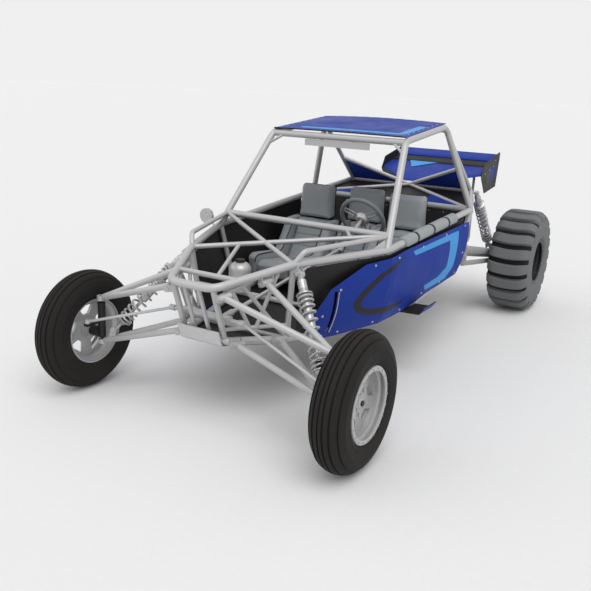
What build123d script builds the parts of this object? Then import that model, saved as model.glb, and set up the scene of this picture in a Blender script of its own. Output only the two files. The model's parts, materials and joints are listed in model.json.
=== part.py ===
from build123d import *
import math
import os

# Sand buggy with a tubular space frame, long front arms, trailing rear arms and an
# open engine behind the seats: two front seats and a narrow one behind them.
# Row frame: +X is the car's left, +Y is rearwards, +Z is up, and the ground is z = 0.
# Lengths are millimetres. In the tables below y counts rearwards from the front axle and is
# given for the drawn wheelbase; "at" stretches it to the wheelbase asked for.

# Running gear
WHEELBASE = 3376
DRAWN_WHEELBASE = 3376
FRONT_TRACK = 1752
REAR_TRACK = 1504
FRONT_TYRE_R = 348
FRONT_TYRE_W = 180
REAR_TYRE_R = 420
REAR_TYRE_W = 340
RIM_R = 190
RIM_WALL = 7
RIM_WELL = 26
FLANGE = 16
BEAD_IN = 22
FRONT_RIM_W = 150
REAR_RIM_W = 290
DISC_T = 20
DISC_SET = 8
HUB_R = 44
HUB_BOLT_R = 9
HUB_BOLTS = 5
# Windows in a wheel disc: how many, inner and outer radius, half angles there in degrees
WINDOWS = 5
WINDOW_INNER = (86, 15)
WINDOW_OUTER = (150, 23)
# Front tread from the shoulder inwards: share of the half width, drop below the crown
FRONT_TREAD = [(0.97, 74), (0.84, 38), (0.6, 14), (0.3, 3)]
PADDLES = 20
PADDLE_DEEP = 30
PADDLE_TIP = 20
PADDLE_ROOT = 40
REAR_SHOULDER = 40
FRONT_FACE = 30
REAR_FACE = 70
HUB_LONG = 76
REAR_HUB_IN = -110
SHAFT_R = 18
SHAFT_END = 132
AXLE_R = 14
AXLE_PROUD = 12

# Tubes, as outside radii, and the clearances between pieces
MAIN_R = 21
POST_R = 16
BRACE_R = 14
STAY_R = 17
SLIM_R = 11
GUSSET = 90
GUSSET_R = 9
WELD_GAP = 0.2
COPE_REACH = 7
SEAT_GAP = 0.3
SHELF_SHARE = 0.5
SCRAP = 0.1

# Sheet metal and panels
SHEET = 3
SKID_WALL = 6
SKID_UP = 75
SKID_BACK = 330
SKID_ARC = (200, 262)
SKID_STEPS = 5
FLOOR_WIDE = 700
ROOF_CROWN_FRONT = 3
ROOF_CROWN_REAR = 12
SKIN_OFF = POST_R + 2
SKIN_EDGE = MAIN_R + 3
BAY_INSET = 7
DECK_BLUE = 0.6
SKIN_STATIONS = [360, 640, 905, 960, 1400, 2040]
FLOOR_STATIONS = [0, 330, 960, 1400, 2060]
PANEL_WALL = 4
PANEL_BULGE = 42
PANEL_OFF = 26
PANEL_DROP = 30
PANEL_STATIONS = [330, 905, 960, 1400, 2150]
PANEL_SIDE = (250, 950)
STUD_R = 9
# Stand-offs behind a side panel: y, share of the panel's height
PANEL_STUDS = [(700, 0.5), (1100, 0.3), (1400, 0.7), (1950, 0.5)]
# Side view outline of a side panel: y, z
PANEL_OUTLINE = [
    (455, 402), (410, 585), (496, 712), (726, 822), (1110, 858), (2080, 903), (1990, 540), (1500, 500),
    (1252, 440), (1000, 420), (620, 404),
]
PANEL_SLOT = [(519, 695), (541, 695), (561, 440), (539, 440)]

# Front suspension and steering
STEER_AXIS_X = FRONT_TRACK / 2 - 124
STEERING_ARM = 110
STEERING_ARM_Z = FRONT_TYRE_R + 82
STEERING_ARM_T = 16
STEERING_ARM_WALL = 6
BALL_LOW_Z = FRONT_TYRE_R - 50
BALL_HIGH_Z = FRONT_TYRE_R + 207
PIN_R = 8
BOSS_H = 26
BOSS_R = 24
UPRIGHT_R = 22
UPRIGHT_NECK = 26
SPINDLE_R = 30
ARM_R = 17
BARREL_R = 20
BARREL_HALF = 30
TRAIL_BARREL_HALF = 26
# Inner pivots of the front arms: half width, y, z
UPPER_FRONT = (175, -90, 745)
UPPER_REAR = (262, 150, 790)
LOWER_FRONT = (190, 10, 476)
LOWER_REAR = (300, 250, 462)
SHOCK_SHARE = 0.14
EYE_R = 19
EYE_HALF = 12
EYE_LIFT = 42
EYE_OUT = 42
REAR_EYE_SET = (46, 16, -16)
CHEEK = 6
BOLT_R = 8
BOLT_HEAD_R = 13
BOLT_HEAD_T = 6
DAMPER_R = 24
ROD_R = 10
SPRING_R = 44
SPRING_WIRE = 13
SPRING_SEAT = 6
DAMPER_FROM = 0.06
SPRING_FROM = 0.2
SPRING_TO = 0.86
COILS = 9
RACK_Y = 0
RACK_Z = 600
RACK_R = 24
RACK_BAR_R = 11
RACK_HALF = 150
RACK_TRAVEL = 52
TIE_R = 8
TIE_EYE_R = 15
TIE_EYE_H = 20
TIE_BALL_R = 16
TIE_IN = RACK_HALF + RACK_TRAVEL + TIE_BALL_R + 6
PINION_X = 90
PINION_H = 70
RACK_FOOT = 30
RACK_FOOT_SHARE = 0.6
SLEEVE_WALL = 6

# Rear suspension and drive
TRAIL_R = 27
TRAIL_LOW_R = 20
CARRIER_X = REAR_TRACK / 2 - REAR_TYRE_W / 2 - 44
CARRIER_HALF = 34
CARRIER_R = 62
CARRIER_BORE = 26
PIVOT_OUT = CARRIER_X + 2
PIVOT_IN = CARRIER_X - 238
# Rises above the pivot line and above the hub of the two long tubes of a trailing arm
TRAIL_TOP_RISE = (60, 30)
TRAIL_LOW_RISE = (-55, -40)
# Side view of the plate that joins them at the pivot: behind the pivot, above it
TRAIL_PLATE = [(-24, 0), (-10, 84), (50, 88), (62, -66), (-4, -74)]
TRAIL_PLATE_T = 22
REAR_SHOCK_LOW = (CARRIER_X - 22, 3230, REAR_TYRE_R + 115)
REAR_EYE_LIFT = 80
GEARBOX_Z = REAR_TYRE_R - 100
GEARBOX_SHOULDER = 60
GEARBOX_REAR = 3500
CV_R = 60

# Engine, seen from the front: half widths and z of the block with its sump, and of the head
ENGINE_FRONT = 2570
ENGINE_REAR = 2990
BLOCK_OUTLINE = [(90, 330), (120, 420), (185, 500), (185, 650)]
HEAD_OUTLINE = [(150, 640), (165, 660), (165, 760)]
CAM_X = 78
CAM_Z = 772
CAM_R = 46
ENGINE_PULLEYS = [(0, 450, 84), (120, 560, 52), (-110, 600, 44)]
PULLEY_T = 34
PORTS = [2640, 2730, 2820, 2910]
PORT_Z = 705
PORT_R = 20
PLENUM_X = -262
PLENUM_Z = 812
PLENUM_R = 44
COLLECTOR_X = 262
COLLECTOR_Z = 600
COLLECTOR_R = 30
MUFFLER_Y = (3020, 3400)
MUFFLER_X = 215
MUFFLER_Z = 715
MUFFLER_R = 58
MOUNT_W = 160
MOUNT_T = 40

# Rear wing: plan outline of x, y for the right half and side view outlines of y, z
WING_PLAN = [(120, 2780), (440, 3080), (440, 3530)]
WING_MAIN = [(2770, 1066), (2792, 1046), (3392, 1172), (3385, 1200)]
WING_FLAP = [(3375, 1224), (3395, 1208), (3522, 1262), (3520, 1276)]
WING_END = [(3050, 1112), (3110, 1208), (3512, 1290), (3530, 1270), (3480, 1000), (3180, 968)]
WING_HALF = 440
WING_PLATE = 6
STRUT_X = 120
STRUT_TOP = (220, 2960, 1096)
REAR_STRUT_TOP = (322, 3255, 1158)

# Seats: places and side view outlines, y, z
SEAT_X = 348
SEAT_W = 390
REAR_SEAT_Y = 90
REAR_SEAT_W = 286
BOLSTER = 70
REAR_BOLSTER = 46
HEAD_W = 280
SEAT_BOTTOM = 505
SEAT_BODY = [
    (1160, SEAT_BOTTOM), (1150, 590), (1190, 615), (1560, 575), (1690, 850), (1790, 850), (1660, SEAT_BOTTOM),
]
SEAT_BOLSTER = [
    (1160, SEAT_BOTTOM), (1140, 630), (1180, 655), (1480, 640), (1640, 850), (1790, 850), (1660, SEAT_BOTTOM),
]
SEAT_FEET = [1220, 1600]
FOOT_R = 14
SEAT_HEAD = [(1680, 830), (1715, 900), (1730, 1075), (1765, 1100), (1815, 1085), (1812, 900), (1790, 830)]

# Steering wheel and column
WHEEL_MID = (315, 1130, 1000)
WHEEL_TILT = 29
WHEEL_R = 152
GRIP_R = 14
WHEEL_HUB_R = 38
HUB_FRONT = 26
HUB_BACK = 6
WHEEL_SPOKE_R = 9
WHEEL_SPOKES = [90, 210, 330]
COLUMN_R = 11
SHAFT_LONG = 290
SHAFT_GAP = 6
SLEEVE = (0.45, 0.95)
HANGER_R = 14
HANGER_LONG = 50
COUPLING_LONG = 30
COUPLING_WALL = 6

# Fittings
RESERVOIR_X = -14
RESERVOIR_R = 62
RESERVOIR_H = 157
RESERVOIR_ROUND = 43
MIRROR_W = 460
MIRROR_H = 40
MIRROR_T = 16
MIRROR_DROP = 24
MIRROR_STEM_R = 6
SIDE_MIRROR = (-620, 800, 945)
SIDE_MIRROR_R = 47
SIDE_MIRROR_T = 22
REST_Y = (1100, 1900)
REST_R = 38
REST_UNDER = 20
STEP_Y = (1250, 1465)
STEP_DROP = 8
STEP_IN = 8
STEP_T = 10
# Tread section beyond the rail: x, rise
STEP_TREAD = [(685, 6), (715, 46), (709, 50), (677, 14)]

# Frame joints: name, half width, y, z
JOINTS = {
    "nose_top": (135, -130, 790),
    "nose_low": (133, -20, 490),
    "tower_top": (335, 295, 867),
    "tower_low": (290, 330, 440),
    "knee": (592, 905, 880),
    "cowl_low": (500, 960, 430),
    "floor_mid": (550, 1400, 430),
    "belt_low": (612, 2080, 545),
    "belt_rear": (643, 2215, 966),
    "roof_front": (474, 1332, 1465),
    "roof_rear": (467, 2034, 1535),
    "rear_tower": (CARRIER_X - 38, 2620, 1050),
    "arm_bay": (CARRIER_X - 38, 2440, 565),
    "tail_top": (CARRIER_X - 208, 3230, 900),
    "tail_low": (CARRIER_X - 208, 3230, 560),
}
UPPER_LINE = ["belt_rear", "knee", "tower_top", "nose_top"]
LOWER_LINE = ["belt_low", "floor_mid", "cowl_low", "tower_low", "nose_low"]
COWL_SHARE = 0.123
HOOD_FRONT = (372, 342, 935)
# More frame points on lines between two joints: name, from, to, share of the way
LINE_POINTS = [
    ("hood_bar", "nose_top", "tower_top", 0.3),
    ("rail_mid", "nose_top", "tower_top", 0.68),
    ("rail_high", "nose_top", "tower_top", 0.82),
    ("nose_high", "nose_top", "nose_low", 0.2),
    ("nose_bay", "nose_top", "nose_low", 0.78),
    ("tower_bay", "tower_top", "tower_low", 0.8),
    ("bay_mid", "nose_bay", "tower_bay", 0.5),
    ("bay_front", "nose_bay", "tower_bay", 0.4),
    ("pivot_mid", "nose_high", "rail_mid", 0.3),
    ("stay_mid", "roof_rear", "rear_tower", 0.6),
]
NOSE_SLAT_X = 45
NOSE_BRACKET_SHARE = 0.15
COWL_GUSSET = 150

STRETCH = WHEELBASE / DRAWN_WHEELBASE
AXLE_MID = (WHEELBASE + REAR_TYRE_R - FRONT_TYRE_R) / 2
SIDES = {"left": 1, "right": -1}
os.makedirs("parts", exist_ok=True)
parts = {}


def at(x, y, z):
    """A point given with y from the front axle, in the row frame."""
    return Vector(x, y * STRETCH - AXLE_MID, z)


corners = {
    (name, side): at(side * half_width, y, z)
    for name, (half_width, y, z) in JOINTS.items()
    for side in (1, -1)
}


def joint(name, side=1):
    return corners[name, side]


def along(a, b, share):
    return a + (b - a) * share


def straight(a, b, radius):
    return Solid.make_cylinder(radius, (b - a).length, Plane(origin=a, z_dir=b - a))


def bent(points, bends, radius):
    """A round bar swept along straight runs joined by tangent arcs."""
    path = FilletPolyline(*points, radius=bends)
    start = Plane(origin=path @ 0, z_dir=path % 0)
    return sweep(start * Circle(radius), path=path).solid()


def boxes_meet(a, b):
    low = [max(p, q) for p, q in zip(tuple(a.min), tuple(b.min))]
    high = [min(p, q) for p, q in zip(tuple(a.max), tuple(b.max))]
    return all(p < q for p, q in zip(low, high))


def biggest(shape):
    return max(shape.solids(), key=lambda solid: solid.volume)


welded = []


def weld(solid, cutter):
    """Copes a new tube against those already in place, and keeps it for the next ones."""
    box, pieces = solid.bounding_box(), [solid]
    for other, other_box in welded:
        if boxes_meet(box, other_box):
            pieces = [part for piece in pieces for part in (piece - other).solids()]
    welded.append((cutter, cutter.bounding_box()))
    return [piece for piece in pieces if piece.volume > SCRAP * solid.volume]


def weld_straight(a, b, radius):
    reach = (b - a).normalized() * COPE_REACH
    return weld(straight(a, b, radius), straight(a - reach, b + reach, radius + WELD_GAP))


def weld_bent(points, bends, radius):
    return weld(bent(points, bends, radius), bent(points, bends, radius + WELD_GAP))


def clear_of_frame(solid):
    """Trims a piece so that it seats on the frame tubes."""
    box = solid.bounding_box()
    for other, other_box in welded:
        if boxes_meet(box, other_box):
            solid = biggest(solid - other)
    return solid


def keep(name, *solids):
    parts[name] = Compound(list(solids)) if len(solids) > 1 else solids[0]


def bend_middle(before, corner, after, radius):
    """The middle of the arc that rounds a corner."""
    back, on = (before - corner).normalized(), (after - corner).normalized()
    half = math.radians(back.get_angle(on)) / 2
    return corner + (back + on).normalized() * (radius / math.sin(half) - radius)


def past(a, b, extra):
    """The point that lies beyond b on the line from a."""
    return b + (b - a).normalized() * extra


def frame_bend(stations, bends):
    """A bent main tube through (joint, side) stations; its corners move onto the arcs."""
    points = [corners[station] for station in stations]
    (tube,) = weld_bent(points, bends, MAIN_R)
    for index, radius in enumerate(bends):
        middle = bend_middle(*points[index : index + 3], radius)
        corners[stations[index + 1]] = middle
    return tube


# Two bent rails run round the nose, and two hoops make the cage
def round_the_nose(names):
    return [(name, -1) for name in names] + [(name, 1) for name in names[::-1]]


UPPER_BENDS = [250, 500, 85]
LOWER_BENDS = [400, 400, 400, 70]
HOOP_BENDS = [95, 70]
HOOD_BEND = 35
# Links from a cross bar to the hood's cross: bar, share of the bar and of the tube, from the right
HOOD_LINKS = [("hood_bar", 0.66, 0.238), ("cowl_top", 0.76, 0.8)]
keep("rail_upper", frame_bend(round_the_nose(UPPER_LINE), UPPER_BENDS + UPPER_BENDS[::-1]))
keep("rail_lower", frame_bend(round_the_nose(LOWER_LINE), LOWER_BENDS + LOWER_BENDS[::-1]))
for name, side in SIDES.items():
    corners["cowl_top", side] = along(joint("knee", side), joint("roof_front", side), COWL_SHARE)
    stations = [(joint_name, side) for joint_name in ("knee", "roof_front", "roof_rear", "belt_rear")]
    keep("cage_hoop_" + name, frame_bend(stations, HOOP_BENDS))
for side in (1, -1):
    for name, start, end, share in LINE_POINTS:
        corners[name, side] = along(joint(start, side), joint(end, side), share)


# Straight tubes, as joint, side, joint, side, radius
def lattice(rows):
    tubes = [weld_straight(joint(a, i), joint(b, j), radius) for a, i, b, j, radius in rows]
    return [piece for pieces in tubes for piece in pieces]


def both(a, b, radius=BRACE_R):
    return [(a, 1, b, 1, radius), (a, -1, b, -1, radius)]


def across(name, radius=BRACE_R):
    return [(name, -1, name, 1, radius)]


def crossed(a, b, radius=BRACE_R):
    return [(a, -1, b, 1, radius), (a, 1, b, -1, radius)]


cage = []
for name in ("roof_front", "roof_rear", "cowl_top", "belt_rear"):
    cage += lattice(across(name, MAIN_R))
for side in (1, -1):
    corner = joint("roof_front", side)
    pillar = past(joint("cowl_top", side), corner, -GUSSET)
    bar = past(joint("roof_front", -side), corner, -GUSSET)
    cage += weld_straight(pillar, bar, GUSSET_R)
keep("cage_cross_tubes", *cage)

posts = both("belt_rear", "belt_low", MAIN_R)
for upper, lower in (("nose_top", "nose_low"), ("tower_top", "tower_low"), ("knee", "cowl_low")):
    posts += both(upper, lower, POST_R)
for name in ("tower_low", "cowl_low", "floor_mid", "belt_low"):
    posts += across(name)
posts = lattice(posts)
shelf_ends = [along(joint("tower_top", side), joint("tower_low", side), SHELF_SHARE) for side in (1, -1)]
posts += weld_straight(*shelf_ends, BRACE_R)
keep("frame_posts", *posts)

# Open bays of the nose, and its upright slats
nose = across("hood_bar")
for a, b in (
    ("nose_bay", "tower_bay"), ("hood_bar", "tower_low"), ("rail_high", "bay_mid"), ("nose_high", "rail_mid"),
    ("pivot_mid", "bay_front"),
):
    nose += both(a, b, SLIM_R)
nose = lattice(nose)
for side in (1, -1):
    top, foot = (at(side * NOSE_SLAT_X, *JOINTS[name][1:]) for name in ("nose_top", "nose_low"))
    nose += weld_straight(top, foot, SLIM_R)
keep("nose_braces", *nose)

# Hood: a bent tube on each side, a cross between them, and two short links
hood = []
for side in (1, -1):
    bend_at = at(side * HOOD_FRONT[0], *HOOD_FRONT[1:])
    hood += weld_bent([joint("tower_top", side), bend_at, joint("cowl_top", side)], [HOOD_BEND], BRACE_R)
hood += lattice(crossed("tower_top", "cowl_top"))
for bar_name, bar_share, share in HOOD_LINKS:
    on_bar = along(joint(bar_name, -1), joint(bar_name, 1), bar_share)
    on_cross = along(joint("tower_top", -1), joint("cowl_top", 1), share)
    hood += weld_straight(on_bar, on_cross, SLIM_R)
keep("hood_braces", *hood)

rear = both("belt_low", "arm_bay", MAIN_R) + across("arm_bay", MAIN_R) + across("rear_tower", STAY_R)
for a, b in (
    ("roof_rear", "rear_tower"), ("belt_rear", "rear_tower"), ("rear_tower", "arm_bay"),
    ("rear_tower", "tail_top"), ("arm_bay", "tail_low"), ("tail_top", "tail_low"),
):
    rear += both(a, b, STAY_R)
rear += across("tail_top") + across("tail_low") + both("arm_bay", "tail_top")
rear = lattice(rear)
tower_bar_mid = along(joint("rear_tower", 1), joint("rear_tower", -1), 0.5)
for side in (1, -1):
    for name in ("stay_mid", "belt_rear"):
        rear += weld_straight(tower_bar_mid, joint(name, side), BRACE_R)
keep("rear_frame", *rear)


# Where the two rails are at a given y
def rail_at(names, y):
    """Half width and z of a rail's line, at y."""
    rows = [JOINTS[name] for name in names[::-1]]
    for a, b in zip(rows[:-1], rows[1:]):
        if y <= b[1] or b is rows[-1]:
            share = (y - a[1]) / (b[1] - a[1])
            return a[0] + (b[0] - a[0]) * share, a[2] + (b[2] - a[2]) * share


def section(y, points):
    """A closed outline of x, z points in the plane at y."""
    return Wire.make_polygon([at(x, y, z) for x, z in points], close=True)


def section_face(y, points):
    return Face(section(y, points))


def ruled(wires):
    return Solid.make_loft(wires, True)


def mirrored(solid):
    return solid.mirror(Plane.YZ)


def both_sides(solid):
    return solid, mirrored(solid)


# Black skins on the sides, between the rails and outside the posts
def skin_x(y, z):
    """The inner face of a skin, on the line between the rails."""
    (x_top, z_top), (x_low, z_low) = rail_at(UPPER_LINE, y), rail_at(LOWER_LINE, y)
    return x_low + (x_top - x_low) * (z - z_low) / (z_top - z_low) + SKIN_OFF


def skin_section(y, thickness=SHEET):
    z_top, z_low = rail_at(UPPER_LINE, y)[1] - SKIN_EDGE, rail_at(LOWER_LINE, y)[1] + SKIN_EDGE
    x_top, x_low = skin_x(y, z_top), skin_x(y, z_low)
    return section(y, [(x_low, z_low), (x_low + thickness, z_low), (x_top + thickness, z_top), (x_top, z_top)])


skin = ruled([skin_section(y) for y in SKIN_STATIONS])
skin_room = ruled([skin_section(y, SHEET + SEAT_GAP) for y in SKIN_STATIONS])
keep("side_skins", *both_sides(skin))


# Blue side panels, crowned, cut to their side view outline and held off the skins by studs
def panel_line(y):
    (x_top, z_top), (x_low, z_low) = rail_at(UPPER_LINE, y), rail_at(LOWER_LINE, y)
    low = at(x_low + PANEL_OFF, y, z_low - PANEL_DROP)
    high = at(x_top + PANEL_OFF, y, z_top)
    return low, (low + high) / 2 + Vector(PANEL_BULGE, 0, 0), high


def panel_section(y):
    low, middle, high = panel_line(y)
    wall = Vector(PANEL_WALL, 0, 0)
    inner, outer = ThreePointArc(low, middle, high), ThreePointArc(high + wall, middle + wall, low + wall)
    return Wire([inner.edge(), Line(high, high + wall).edge(), outer.edge(), Line(low + wall, low).edge()])


def side_prism(outline, x_from, x_to):
    """A side view outline of y, z points, extruded along X."""
    face = Face(Wire.make_polygon([at(x_from, y, z) for y, z in outline], close=True))
    return Solid.extrude(face, Vector(x_to - x_from, 0, 0))


def plan_prism(half_outline, z_from, z_to):
    """A symmetric plan outline, given as x, y points of its left half, extruded upwards."""
    points = half_outline + [(-x, y) for x, y in half_outline[::-1]]
    face = Face(Wire.make_polygon([at(x, y, z_from) for x, y in points], close=True))
    return Solid.extrude(face, Vector(0, 0, z_to - z_from))


def stud(y, share):
    """A stand-off from the skin to the crowned panel, at a share of the panel's height."""
    low, middle, high = panel_line(y)
    chord = along(low, high, share)
    bulge = PANEL_BULGE * 4 * share * (1 - share)
    start = Vector(skin_x(y, chord.Z) + SHEET / 2, chord.Y, chord.Z)
    end = chord + Vector(bulge + PANEL_WALL / 2, 0, 0)
    return biggest(straight(start, end, STUD_R) - skin_room)


panel = ruled([panel_section(y) for y in PANEL_STATIONS])
panel = panel & side_prism(PANEL_OUTLINE, *PANEL_SIDE)
panel = biggest(panel - side_prism(PANEL_SLOT, *PANEL_SIDE))
for y, share in PANEL_STUDS:
    panel = panel + stud(y, share)
keep("side_panels", *both_sides(panel.solid()))


# Floor pan under the lower rail: its side view taken through its plan
floor_rows = [(y, *rail_at(LOWER_LINE, y)) for y in FLOOR_STATIONS]
pan_top = [(y, z_low - MAIN_R - SEAT_GAP) for y, x_low, z_low in floor_rows]
pan_side = pan_top + [(y, z - SHEET) for y, z in pan_top[::-1]]
pan_half = [(x_low, y) for y, x_low, z_low in floor_rows]
pan = side_prism(pan_side, -FLOOR_WIDE, FLOOR_WIDE) & plan_prism(pan_half, 0, FLOOR_WIDE)
keep("floor_pan", pan.solid())


# Skid plate: lies on the nose posts, wraps the front bar and runs back under the pan
def skid_edge(radius):
    """Side view points of one face of the skid plate, at a distance from the front bar's middle."""
    bar_y, bar_z = JOINTS["nose_low"][1:]
    up, back = Vector(*JOINTS["nose_top"][1:]), Vector(*pan_side[1])
    up = (up - Vector(bar_y, bar_z)).normalized()
    back = (back - Vector(*pan_side[0])).normalized()
    arc = []
    for step in range(SKID_STEPS + 1):
        angle = math.radians(SKID_ARC[0] + (SKID_ARC[1] - SKID_ARC[0]) * step / SKID_STEPS)
        arc.append((bar_y + radius * math.cos(angle), bar_z + radius * math.sin(angle)))
    top, end = Vector(*arc[0]) + up * SKID_UP, Vector(*arc[-1]) + back * SKID_BACK
    return [(top.X, top.Y)] + arc + [(end.X, end.Y)]


half_width = JOINTS["nose_low"][0]
skid_in = MAIN_R + SHEET + 3 * SEAT_GAP
skid = side_prism(skid_edge(skid_in) + skid_edge(skid_in + SKID_WALL)[::-1], -half_width, half_width)
keep("skid_plate", clear_of_frame(skid))


# Roof panel on the hoops, crowned across
def roof_section(name, crown):
    half_width, y, z = JOINTS[name]
    base, rise = at(0, y, z + MAIN_R + SEAT_GAP), Vector(0, 0, SHEET)
    left, right = base + Vector(half_width, 0, 0), base - Vector(half_width, 0, 0)
    middle = base + Vector(0, 0, crown)
    inner, outer = ThreePointArc(left, middle, right), ThreePointArc(right + rise, middle + rise, left + rise)
    return Wire([inner.edge(), Line(right, right + rise).edge(), outer.edge(), Line(left + rise, left).edge()])


roof_rows = [("roof_front", ROOF_CROWN_FRONT), ("roof_rear", ROOF_CROWN_REAR)]
keep("roof_panel", ruled([roof_section(name, crown) for name, crown in roof_rows]))


# Flat plates let in between frame tubes
def plate(points, drop=0, thickness=SHEET):
    face = Face(Wire.make_polygon([point - Vector(0, 0, drop) for point in points], close=True))
    normal = face.normal_at()
    return clear_of_frame(Solid.extrude(face.moved(Location(normal * (-thickness / 2))), normal * thickness))


def corner_points(*stations):
    return [joint(name, side) for name, side in stations]


keep("firewall", plate(corner_points(("belt_rear", 1), ("belt_rear", -1), ("belt_low", -1), ("belt_low", 1))))
deck_corners = corner_points(("belt_rear", 1), ("belt_rear", -1), ("rear_tower", -1), ("rear_tower", 1))
deck_drop = BRACE_R + SEAT_GAP + SHEET / 2
keep("rear_deck", plate(deck_corners, deck_drop))
deck_room = plate(deck_corners, deck_drop, SHEET + 2 * SEAT_GAP)
panels, gussets = [], []
belt_mid = along(joint("belt_rear", 1), joint("belt_rear", -1), 0.5)
for side in (1, -1):
    inset = Vector(side * (STAY_R + BAY_INSET), 0, 0)
    bay = [joint(name, side) - inset for name in ("rear_tower", "arm_bay", "tail_top")]
    belt = joint("belt_rear", side)
    deck = [belt, along(belt, tower_bar_mid, DECK_BLUE), along(belt, belt_mid, DECK_BLUE)]
    stay = [tower_bar_mid, joint("stay_mid", side), joint("rear_tower", side)]
    panels += [biggest(plate(bay) - deck_room), plate(stay), plate(deck)]
    knee, tower_top = joint("knee", side), joint("tower_top", side)
    gussets.append(plate([knee, joint("cowl_top", side), past(tower_top, knee, -COWL_GUSSET)]))
keep("engine_panels", *panels)
keep("cowl_gussets", *gussets)


# Wheels: solids of revolution about the axle, placed at the hub
def turned(profile):
    """A closed profile of (out along X, radius) points, turned about X."""
    face = Face(Wire.make_polygon([Vector(x, 0, radius) for x, radius in profile], close=True))
    return Solid.revolve(face, 360, Axis.X)


def side_wall(half):
    """The bead and lower wall of a tyre, from the bead up."""
    return [(half - BEAD_IN, RIM_R + SEAT_GAP), (half - BEAD_IN / 3, RIM_R + BEAD_IN * 2 / 3)]


def both_walls(rows, crown):
    return turned(rows + [(0, crown)] + [(-x, radius) for x, radius in rows[::-1]])


def front_tyre():
    half = FRONT_TYRE_W / 2
    wall = side_wall(half) + [(half, (FRONT_TYRE_R + RIM_R) / 2 - BEAD_IN)]
    tread = [(half * share, FRONT_TYRE_R - drop) for share, drop in FRONT_TREAD]
    return both_walls(wall + tread, FRONT_TYRE_R)


def rear_tyre():
    """A carcass with straight paddles, cut as a toothed ring and rounded at the shoulders."""
    half, top, base = REAR_TYRE_W / 2, REAR_TYRE_R, REAR_TYRE_R - PADDLE_DEEP
    inner = (base - SHEET) * math.cos(math.pi / PADDLES)
    edge = half - REAR_SHOULDER / 4
    shoulder = [(edge, inner - REAR_SHOULDER), (half - REAR_SHOULDER, inner)]
    carcass = both_walls(side_wall(half) + [(half, (top + RIM_R) / 2)] + shoulder, inner)
    outline = [(PADDLE_ROOT, base), (PADDLE_TIP, top), (-PADDLE_TIP, top), (-PADDLE_ROOT, base)]
    teeth = []
    for index in range(PADDLES):
        turn = math.radians(index * 360 / PADDLES)
        teeth += [Vector(-half, *turned_point(width / 2, radius, turn)) for width, radius in outline]
    ring = Solid.extrude(Face(Wire.make_polygon(teeth, close=True)), Vector(REAR_TYRE_W, 0, 0))
    ring = ring - drum(-half, half, RIM_R + BEAD_IN)
    outside = [(edge, RIM_R), (edge, top - REAR_SHOULDER), (half - REAR_SHOULDER, top + SHEET)]
    room = both_walls(outside, top + SHEET)
    return (carcass + (ring & room)).solid()


def turned_point(across, radius, angle):
    """A point at a radius, a distance across from the top, turned about the axle."""
    y, z = across, math.sqrt(radius ** 2 - across ** 2)
    return y * math.cos(angle) - z * math.sin(angle), y * math.sin(angle) + z * math.cos(angle)


def drum(x_from, x_to, radius):
    return Solid.make_cylinder(radius, x_to - x_from, Plane(origin=(x_from, 0, 0), z_dir=(1, 0, 0)))


def rim(width, face_x, hub_from, hub_to):
    """Barrel with flanges, windowed disc and hub in one piece, with its outer face towards +X."""
    half, well = width / 2, RIM_R - RIM_WELL
    outside = [(half, RIM_R), (half - FLANGE, RIM_R), (half - 2 * FLANGE, well + RIM_WALL)]
    inside = [(half - 2 * FLANGE, well), (half - FLANGE, RIM_R - RIM_WALL), (half, RIM_R - RIM_WALL)]
    wheel = turned(outside + [(-x, r) for x, r in outside[::-1] + inside[::-1]] + inside)
    disc = drum(face_x - DISC_SET - DISC_T, face_x - DISC_SET, well + RIM_WALL / 2)
    for index in range(WINDOWS):
        turn = index * 360 / WINDOWS
        corners_of = [
            (radius, math.radians(turn + sign * half_angle))
            for (radius, half_angle), signs in ((WINDOW_INNER, (-1, 1)), (WINDOW_OUTER, (1, -1)))
            for sign in signs
        ]
        points = [Vector(-half, radius * math.sin(a), radius * math.cos(a)) for radius, a in corners_of]
        disc = disc - Solid.extrude(Face(Wire.make_polygon(points, close=True)), Vector(width, 0, 0))
    wheel = wheel + disc + drum(hub_from, hub_to, HUB_R)
    for index in range(HUB_BOLTS):
        angle = math.radians((index + 0.5) * 360 / HUB_BOLTS)
        bolt = drum(face_x - DISC_SET, face_x, HUB_BOLT_R)
        reach = HUB_R + 2 * HUB_BOLT_R
        wheel = wheel + bolt.moved(Location((0, reach * math.sin(angle), reach * math.cos(angle))))
    return wheel


def to_hub(solid, side, track, y, z):
    """Puts a wheel piece, modelled for the left side, at its hub."""
    solid = solid.moved(Location(at(track / 2, y, z)))
    return solid if side > 0 else mirrored(solid)


front_rim = rim(FRONT_RIM_W, FRONT_FACE, FRONT_FACE - HUB_LONG, FRONT_FACE)
front_rim = (front_rim - drum(-FRONT_RIM_W, FRONT_RIM_W, AXLE_R + SEAT_GAP)).solid()
rear_rim = rim(REAR_RIM_W, REAR_FACE, REAR_HUB_IN, REAR_FACE)
rear_rim = (rear_rim + drum(SHAFT_END + SEAT_GAP - REAR_TRACK / 2, REAR_FACE, SHAFT_R)).solid()
wheels = [
    ("front_tyre_", front_tyre(), FRONT_TRACK, 0, FRONT_TYRE_R),
    ("front_rim_", front_rim, FRONT_TRACK, 0, FRONT_TYRE_R),
    ("rear_tyre_", rear_tyre(), REAR_TRACK, DRAWN_WHEELBASE, REAR_TYRE_R),
    ("rear_rim_", rear_rim, REAR_TRACK, DRAWN_WHEELBASE, REAR_TYRE_R),
]
for name, side in SIDES.items():
    for node, solid, track, y, z in wheels:
        keep(node + name, to_hub(solid, side, track, y, z))

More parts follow.
